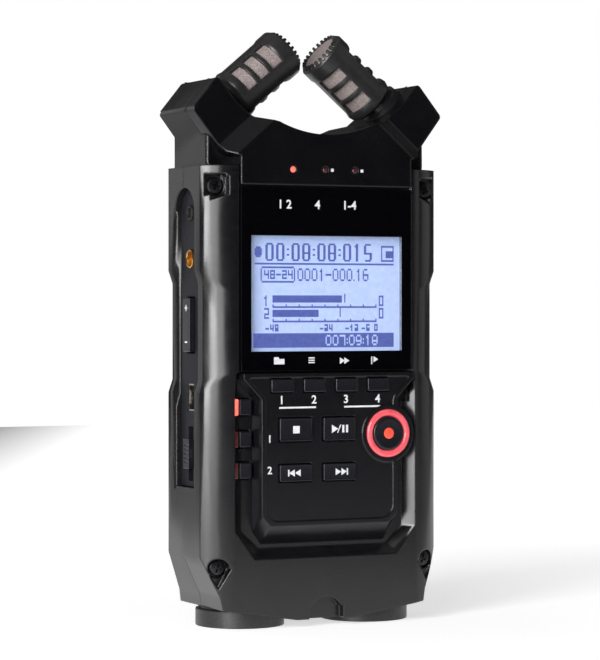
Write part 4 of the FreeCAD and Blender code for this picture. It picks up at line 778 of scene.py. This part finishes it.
rec_dot = turned("rec_dot", [(0, 17.79), (1.35, 17.79), (1.45, 17.74), (1.45, 17.6), (0, 17.6)],
                 (REC_X, 0, REC_Z), "front", 32)
dot_red = finish("dot_red", (0.72, 0.055, 0.03), (0.85, 0.09, 0.05), 900, (0.3, 0.4), glow=0.45)
place_piece(rec_dot, dot_red, "red_lamp", "rec_key")

# ---------------------------------------------------------------- input keys and their lamps
# Three small keys in the trench beside the panel, each with a slim lamp; the top one is lit.
for number in (1, 2, 3):
    dished_key(f"input_key_{number}", KEY_DISH)
lamp_off = finish("lamp_off", (0.05, 0.008, 0.010), (0.08, 0.012, 0.014), 900, (0.18, 0.25),
                  coat=0.4, coat_roughness=0.08)
lamp_lit = finish("lamp_lit", (0.85, 0.09, 0.07), (1.0, 0.16, 0.12), 900, (0.2, 0.3), glow=1.3)


def fit_lamp(lens, number, node):
    """Finishes a lamp of a row: the first is lit and stands for the row's CAD node."""
    material, nodes = (lamp_lit, [node]) if number == 1 else (lamp_off, [])
    place_piece(lens, material, "red_lamp", "recorder", *nodes)


for number, level in enumerate((57.6, 49.3, 41.2), 1):
    lens = slim_block(f"input_lamp_{number}", (-26.3, -14.7, level - 2.1),
                      (-25.1, -12.9, level + 2.1), 0.3, 3)
    fit_lamp(lens, number, "input_lamps")
MODE_LAMP_Z = 119.2
lamp_profile = [(0, 15.7), (0.35, 15.68), (0.62, 15.58), (0.77, 15.4), (0.8, 15.2), (0.8, 14.5),
                (0, 14.5)]
for number, across in enumerate((-9.9, -0.6, 8.1), 1):
    lens = turned(f"mode_lamp_{number}", lamp_profile, (across, 0, MODE_LAMP_Z), "front", 24)
    fit_lamp(lens, number, "mode_lamps")
lamp_print = marks("lamp_marks", [("bar", (across + 2.0, -15.6, MODE_LAMP_Z), 0.8, 0.8)
                                  for across in (-0.6, 8.1)], "front")
place_piece(lamp_print, print_white, "head_satin", "recorder")

# ---------------------------------------------------------------- case screws
# Four black screws with a cross recess hold the shells; their heads sit in round wells.
screw_black = finish("screw_black", (0.03, 0.03, 0.032), (0.06, 0.06, 0.065), 1800, (0.25, 0.35),
                     metallic=0.9)
screw_profile = [(0, 12.3), (1.2, 12.3), (1.8, 12.15), (2.08, 11.8), (2.1, 11.2), (1.0, 11.2),
                 (1.0, -5.5), (0, -5.5)]
heads = []
for across, level in ((-30.0, 16.2), (30.0, 16.2), (-30.6, 114.6), (30.6, 114.6)):
    head = turned("head", screw_profile, (across, 0, level), "front", 32)
    for turn in (20, 110):
        bpy.ops.mesh.primitive_cube_add(size=1, location=(across * MM, -12.2 * MM, level * MM),
                                        rotation=(0, math.radians(turn), 0))
        slotter = bpy.context.object
        slotter.scale = (2.3 * MM, 1.2 * MM, 0.5 * MM)
        carve(head, settle(slotter, "driver"))
    take(head)
    bpy.ops.object.shade_smooth_by_angle(angle=math.radians(30))
    heads.append(head)
screws = join("case_screw_heads", heads)
place_piece(screws, screw_black, "screw_black", "recorder", "case_screws")

# ---------------------------------------------------------------- head
# Front and rear covers of the head, in satin black: a faceted collar with two arms that carry
# the microphones and a hollow bridge between them.
head_satin = finish("head_satin", (0.0022, 0.0022, 0.0030), (0.0045, 0.0045, 0.0056), 2400,
                    (0.2, 0.28), 0.003, edge=0.7, specular=0.5)
NECK_FRONT = -9.3


def arm_corner(one, two):
    """Whether an edge is an outer corner of an arm, running from front to back."""
    return abs(one.x - two.x) + abs(one.z - two.z) < 0.02 and abs(one.x) > 29 and one.z > 132


def neck_corner(one, two):
    """Whether an edge is an upright front corner of the neck."""
    return (abs(one.x - two.x) + abs(one.y - two.y) < 0.02 and abs(one.x) > 31
            and abs(one.y - NECK_FRONT) < 0.02 and one.z < 129)


for node, name in (("head_front_cover", "head_front"), ("head_rear_cover", "head_rear")):
    cover = cad_copy(name, node)
    round_edges(cover, arm_corner, 0.9, 4)
    round_edges(cover, neck_corner, 0.8, 3)
    ease(cover, 0)
    place_piece(cover, head_satin, "head_satin", "recorder", node)

# ---------------------------------------------------------------- microphones
# Two crossed microphones on turning stems: a dark cage of hoops and bars with a toothed front
# ring round a grey mesh sleeve, the capsule behind it.
cage_metal = finish("cage_metal", (0.018, 0.0175, 0.0185), (0.034, 0.033, 0.034), 2200,
                    (0.28, 0.38), 0.004, metallic=0.2, specular=0.5)
# The grey mesh glows a little: painted light that makes it look lit.
mesh_metal = finish("mesh_metal", (0.24, 0.195, 0.19), (0.38, 0.32, 0.31), 1500, (0.35, 0.5),
                    metallic=0.2, glow=0.07)
mesh_tree = mesh_metal.node_tree
weave_place = add_node(mesh_tree, "TexCoord")
weave = add_node(mesh_tree, "TexVoronoi", Scale=2300, Randomness=0.25)
weave_bump = add_node(mesh_tree, "Bump", Distance=0.12 * MM)
wire(mesh_tree, (weave_place, "Object", weave, "Vector"), (weave, "Distance", weave_bump, "Height"),
     (weave_bump, "Normal", mesh_tree.nodes["Principled BSDF"], "Normal"))
capsule_black = finish("capsule_black", (0.008, 0.008, 0.009), (0.014, 0.014, 0.015), 1500,
                       (0.4, 0.5))
MIC_X, MIC_Z, MIC_TILT, TURN_TILT = 13.35, 144.7, 40.0, 32.5
SPOKES, CAGE_R, CAGE_BASE, CAGE_TIP, TEETH_FROM = 96, 6.9, -10.2, 11.2, 10.3
# each hoop's height on the cage, and how far the wall is drawn in there
HOOPS = {CAGE_BASE: 1.3, -9.4: 0.35, -8.2: 0, -6.9: 0.3, -3.6: 0.3, -2.3: 0.3, 1.0: 0.3, 2.3: 0.3,
         5.6: 0.3, 6.6: 0, 9.6: 0, 10.2: 0.55, CAGE_TIP: 1.25}
WINDOW_ROWS, WINDOW_TURNS, WINDOW_HALF = ((-6.9, -3.6), (-2.3, 1.0), (2.3, 5.6)), (0, 120, 240), 33.5


def mic_cage(side, sign, turn):
    """One cage, made upright at the middle, then leant over on its side."""
    bpy.ops.mesh.primitive_cylinder_add(
        vertices=SPOKES, radius=CAGE_R * MM, depth=(CAGE_TIP - CAGE_BASE) * MM,
        end_fill_type="NOTHING", location=(0, 0, (CAGE_TIP + CAGE_BASE) / 2 * MM))
    cage = settle(bpy.context.object, side + "_mic_barrel")
    for level in list(HOOPS)[1:-1]:
        open_all(cage)
        bpy.ops.mesh.bisect(plane_co=(0, 0, level * MM), plane_no=(0, 0, 1))
        close()

    def open_here(at, normal):
        """Whether a face lies in a window or between two teeth."""
        angle = math.degrees(math.atan2(at.y, at.x))
        if at.z > TEETH_FROM:
            return math.floor((angle + 360) / (360 / SPOKES)) % 4 in (0, 1)
        in_row = any(low < at.z < high for low, high in WINDOW_ROWS)
        return in_row and any(abs((angle - turn - window + 180) % 360 - 180) < WINDOW_HALF
                              for window in WINDOW_TURNS)

    pick(cage, open_here)
    bpy.ops.mesh.delete(type="FACE")
    close()
    for vertex in cage.data.vertices:
        draw = HOOPS[round(vertex.co.z / MM, 1)]
        if draw:
            flat = Vector((vertex.co.x, vertex.co.y, 0)).normalized() * (CAGE_R - draw) * MM
            vertex.co.x, vertex.co.y = flat.x, flat.y
    thicken(cage, 0.95, -1)
    ease(cage, 0.16, 2, 35, 32)
    floor = turned("floor", [(0, -10.15), (5.5, -10.2), (5.7, -9.9), (5.7, -8.8), (0, -8.8)],
                   (0, 0, 0), "up", 48)
    cage = join(side + "_mic_barrel", [cage, floor])
    stem = turned(side + "_mic_stem", [(0, -17.4), (4.6, -17.4), (4.6, -10.6), (4.3, -9.7),
                                       (0, -9.7)], (0, 0, 0), "up", 48)
    for part, tilt in ((cage, MIC_TILT), (stem, TURN_TILT)):
        part.rotation_euler = (0, math.radians(sign * (90 - tilt)), 0)
        part.location = Vector((-sign * MIC_X, 0, MIC_Z)) * MM
        settle(part, part.name)
    return join(side + "_mic_barrel", [cage, stem])


for side, sign, turn in (("left", 1, -121.0), ("right", -1, -138.0)):
    body = side + "_mic"
    cage = mic_cage(side, sign, turn)
    place_piece(cage, cage_metal, "dark_metal", body, side + "_mic_cage")
    lean = sign * (90 - MIC_TILT)
    centre = (-sign * MIC_X, 0, MIC_Z)
    sleeve = turned(side + "_mic_sleeve", [(5.8, -8.5), (5.8, 9.9), (5.5, 10.2), (0, 10.25),
                                           (0, 9.85), (5.4, 9.8), (5.4, -8.5), (5.8, -8.5)],
                    centre, lean, 72)
    place_piece(sleeve, mesh_metal, "grey_mesh", body, side + "_mic_mesh")
    capsule = turned(side + "_mic_core", [(0, -4), (5.0, -4), (5.2, -3.8), (5.2, 9.0), (5.0, 9.2),
                                          (0, 9.2)], centre, lean, 48)
    place_piece(capsule, capsule_black, "dark_metal", body, side + "_mic_capsule")
paint_node("mic_bushes", capsule_black)

# ---------------------------------------------------------------- side panels
# A satin strip down each side carries the sockets and side controls, with icons beside them.
strip_plastic = finish("strip_plastic", (0.0065, 0.0068, 0.0095), (0.011, 0.0115, 0.0155), 2600,
                       (0.42, 0.52), 0.004, specular=0.25)
for side in ("left", "right"):
    eased_copy(side + "_strip", side + "_port_panel", strip_plastic, "case_black", "recorder", 0.15)

# ---------------------------------------------------------------- sockets
# Phones and remote sockets with turned metal noses, and the data socket's folded steel shell.
gold = finish("gold_plate", (0.62, 0.36, 0.11), (0.80, 0.52, 0.20), 1200, (0.16, 0.26),
              metallic=1.0)
nickel = finish("nickel_plate", (0.50, 0.47, 0.44), (0.66, 0.62, 0.58), 1200, (0.2, 0.3),
                metallic=1.0)
socket_black = finish("socket_black", (0.008, 0.008, 0.009), (0.013, 0.013, 0.014), 1200, (0.4, 0.5),
                      0.004)
PORT_Y = -0.9
for name, level, bore, plate, slot in (("phones_jack", 96.0, 1.8, gold, "gold"),
                                       ("remote_jack", 108.0, 1.3, socket_black, "jack_plastic")):
    nose = turned(name + "_nose", [(bore, 18.0), (bore, 32.7), (bore + 0.12, 33.0), (bore + 0.4, 33.1),
                                   (bore + 0.62, 32.95), (bore + 0.7, 32.6), (bore + 0.7, 29.5),
                                   (bore + 0.7, 18.0), (bore, 18.0)], (0, PORT_Y, level), "left", 48)
    place_piece(nose, plate, slot, "recorder", name)
    block = slim_block(name + "_block", (-30.4, PORT_Y - 3.0, level - 3.0),
                       (-17.0, PORT_Y + 3.0, level + 3.0))
    carve(block, turned("hole", [(0, 17.9), (bore + 0.7, 17.9), (bore + 0.7, 31), (0, 31)],
                        (0, PORT_Y, level), "left", 32))
    ease(block, 0.1)
    place_piece(block, socket_black, "jack_plastic", "recorder")
paint_node("usb_port", nickel)
for node in ("ext_mic_jack", "dc_jack"):
    paint_node(node, socket_black)

# ---------------------------------------------------------------- side controls
# Rockers for volume and level, a menu key, a ribbed scroll dial, the power slide and the card
# door, each moulded in black with its own grip.
for name, width in (("volume_rocker", 0.35), ("level_rocker", 0.35), ("menu_key", 0.3)):
    eased_copy(name + "_cap", name, key_plastic, "key_black", name, width, 3)
for name, side, sign, upper, lower in (("volume", "left", -1, 83.2, 74.3),
                                       ("level", "right", 1, 102.4, 93.6)):
    face = sign * 33.9
    rocker_marks = marks(name + "_marks", [("bar", (face, PORT_Y, upper), 1.6, 0.4),
                                           ("bar", (face, PORT_Y, upper), 0.4, 1.6),
                                           ("bar", (face, PORT_Y, lower), 1.6, 0.4)], side)
    place_piece(rocker_marks, print_white, "key_black", name + "_rocker")
menu_marks = marks("menu_marks", [("bar", (33.6, PORT_Y, 84.5 + step), 1.8, 0.35)
                                  for step in (-0.9, 0, 0.9)], "right")
place_piece(menu_marks, print_white, "key_black", "menu_key")

DIAL_X, DIAL_Z, DIAL_R, RIB_DEPTH = 27.6, 72.0, 7.0, 0.3
bpy.ops.mesh.primitive_cylinder_add(vertices=144, radius=DIAL_R * MM, depth=4.2 * MM,
                                    location=(DIAL_X * MM, PORT_Y * MM, DIAL_Z * MM),
                                    rotation=(math.radians(90), 0, 0))
dial = settle(bpy.context.object, "scroll_wheel")
for vertex in dial.data.vertices:
    spoke = math.atan2(vertex.co.z / MM - DIAL_Z, vertex.co.x / MM - DIAL_X)
    step = round(math.degrees(spoke) / 2.5) % 4
    if step in (0, 1):
        out = Vector((vertex.co.x / MM - DIAL_X, 0, vertex.co.z / MM - DIAL_Z)).normalized()
        vertex.co -= out * RIB_DEPTH * MM
pick(dial, lambda at, normal: abs(normal.y) > 0.9)
bpy.ops.mesh.inset(thickness=0.9 * MM)
bpy.ops.mesh.inset(thickness=0.25 * MM, depth=-0.3 * MM)
close()
ease(dial, 0.08, 1, 30)
axle = turned("axle", [(0, -3.7), (1.0, -3.7), (1.0, 3.7), (0, 3.7)], (DIAL_X, PORT_Y, DIAL_Z),
              "front", 24)
dial = join("scroll_wheel", [dial, axle])
place_piece(dial, key_plastic, "key_black", "scroll_dial", "scroll_dial")

KNOB_Z, GROOVE_PITCH, GROOVE_HALF = 45.2, 1.1, 0.22
knob = cad_copy("power_slide", "power_knob")
for step in range(-2, 3):
    level = KNOB_Z + step * GROOVE_PITCH
    carve(knob, slim_block("groove", (-34.3, PORT_Y - 1.6, level - GROOVE_HALF),
                           (-33.6, PORT_Y + 1.6, level + GROOVE_HALF)))
ease(knob, 0.14)
place_piece(knob, key_plastic, "key_black", "power_knob", "power_knob")

door = cad_copy("card_door", "sd_door")
carve(door, slim_block("pull", (32.9, -5.0, 56.0), (33.6, -2.6, 61.0)))
ease(door, 0.2)
place_piece(door, strip_plastic, "case_black", "sd_door", "sd_door")
PANEL_FACE, LEFT_ICON_Y, RIGHT_ICON_Y = 32.5, PORT_Y - 4.0, PORT_Y - 4.2
left_icons = marks("left_icons", [
    ("ring", (-PANEL_FACE, LEFT_ICON_Y, 96.0), 1.25, 0.3, "half"),
    ("bar", (-PANEL_FACE, PORT_Y - 5.15, 95.6), 0.6, 1.1),
    ("bar", (-PANEL_FACE, PORT_Y - 2.85, 95.6), 0.6, 1.1),
    ("disc", (-PANEL_FACE, LEFT_ICON_Y, 108.0), 0.45),
    ("bar", (-PANEL_FACE, LEFT_ICON_Y, 59.9), 0.5, 2.6),
    ("ring", (-PANEL_FACE, LEFT_ICON_Y, KNOB_Z), 1.0, 0.25),
    ("bar", (-PANEL_FACE, LEFT_ICON_Y, KNOB_Z + 0.7), 0.3, 1.0)], "left")
place_piece(left_icons, print_white, "case_black", "recorder")
right_icons = marks("right_icons", [
    ("ring", (PANEL_FACE, RIGHT_ICON_Y, 84.5), 0.8, 0.25),
    ("bar", (PANEL_FACE, RIGHT_ICON_Y, DIAL_Z), 0.5, 2.0),
    ("wedge", (PANEL_FACE, RIGHT_ICON_Y, DIAL_Z + 2), 0.6, 0),
    ("wedge", (PANEL_FACE, RIGHT_ICON_Y, DIAL_Z - 2), 0.6, 180)], "right")
place_piece(right_icons, print_white, "case_black", "recorder")

# ---------------------------------------------------------------- back
# The battery door with a ribbed thumb grip and an arrow, the tripod bush and the ext jack.
RIB_LOW, RIB_PITCH, RIB_HEIGHT, DOOR_INSET = 78.0, 1.5, 0.6, 0.05
battery_door = cad_copy("battery_cover", "battery_door")
for step in range(6):
    level = RIB_LOW + step * RIB_PITCH
    carve(battery_door, slim_block("rib", (-7.0, 18.2, level), (7.0, 18.8, level + RIB_HEIGHT)))
pick(battery_door, lambda at, normal: at.y > 18.45)
bpy.ops.transform.translate(value=(0, -DOOR_INSET * MM, 0))
close()
ease(battery_door, 0.2)
place_piece(battery_door, case_paint, "case_black", "battery_door", "battery_door")
arrow = marks("battery_arrow", [("wedge", (0, 18.47, 74.0), 1.8, 180)], "back")
place_piece(arrow, print_white, "case_black", "battery_door")
thread = [(3.1 + (0.35 if step % 2 else 0.0), 6.6 + step * 0.4) for step in range(22)]
bush_profile = [(3.1, 6.5)] + thread + [(3.1, 15.4), (3.3, 15.6), (5.1, 15.6), (5.2, 15.5),
                                        (5.2, 6.5), (3.1, 6.5)]
bush = turned("tripod_thread", bush_profile, (0, 0, 104.0), "back", 48)
place_piece(bush, nickel, "steel", "recorder", "tripod_bush")

# ---------------------------------------------------------------- base
# Two combined jacks form the feet: a broad ring round a sleeve and core, with a small latch.
jack_satin = finish("jack_satin", (0.020, 0.020, 0.021), (0.034, 0.034, 0.036), 1800, (0.32, 0.42),
                    0.006, metallic=0.3, specular=0.6)
for side in ("left", "right"):
    eased_copy(side + "_jack_ring", side + "_combo_jack", jack_satin, "jack_ring", "recorder",
               0.25, 3)
    eased_copy(side + "_jack_tab", side + "_jack_latch", key_plastic, "jack_plastic",
               side + "_jack_latch", 0.2)

# ---------------------------------------------------------------- inside
# The board with its switches, mat and screws, the cells in their tray, the card in its
# socket and the small speaker: seen only when a door is open or through a slot.
board_green = finish("board_green", (0.01, 0.075, 0.03), (0.02, 0.13, 0.05), 900, (0.35, 0.5), 0.01)
mat_grey = finish("mat_grey", (0.12, 0.12, 0.125), (0.17, 0.17, 0.175), 1500, (0.6, 0.75), 0.01)
steel = finish("screw_steel", (0.42, 0.42, 0.42), (0.56, 0.56, 0.56), 1500, (0.25, 0.35),
               metallic=1.0)
cell_wrap = finish("cell_wrap", (0.03, 0.09, 0.20), (0.05, 0.14, 0.28), 500, (0.2, 0.32), coat=0.3)
card_black = finish("card_black", (0.012, 0.012, 0.014), (0.022, 0.022, 0.026), 1800, (0.4, 0.5),
                    0.006)
cone_paper = finish("cone_paper", (0.02, 0.02, 0.02), (0.045, 0.043, 0.04), 1200, (0.7, 0.85), 0.03)
for material, nodes_here in ((board_green, ("main_board",)), (mat_grey, ("key_mat",)),
                             (steel, ("board_screws", "battery_contacts", "sd_socket")),
                             (cell_wrap, ("aa_cells",)), (card_black, ("sd_card", "tact_switches")),
                             (moulding, ("battery_tray",)), (cone_paper, ("speaker_driver",))):
    for node in nodes_here:
        paint_node(node, material)

# ---------------------------------------------------------------- size and end
low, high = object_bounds()
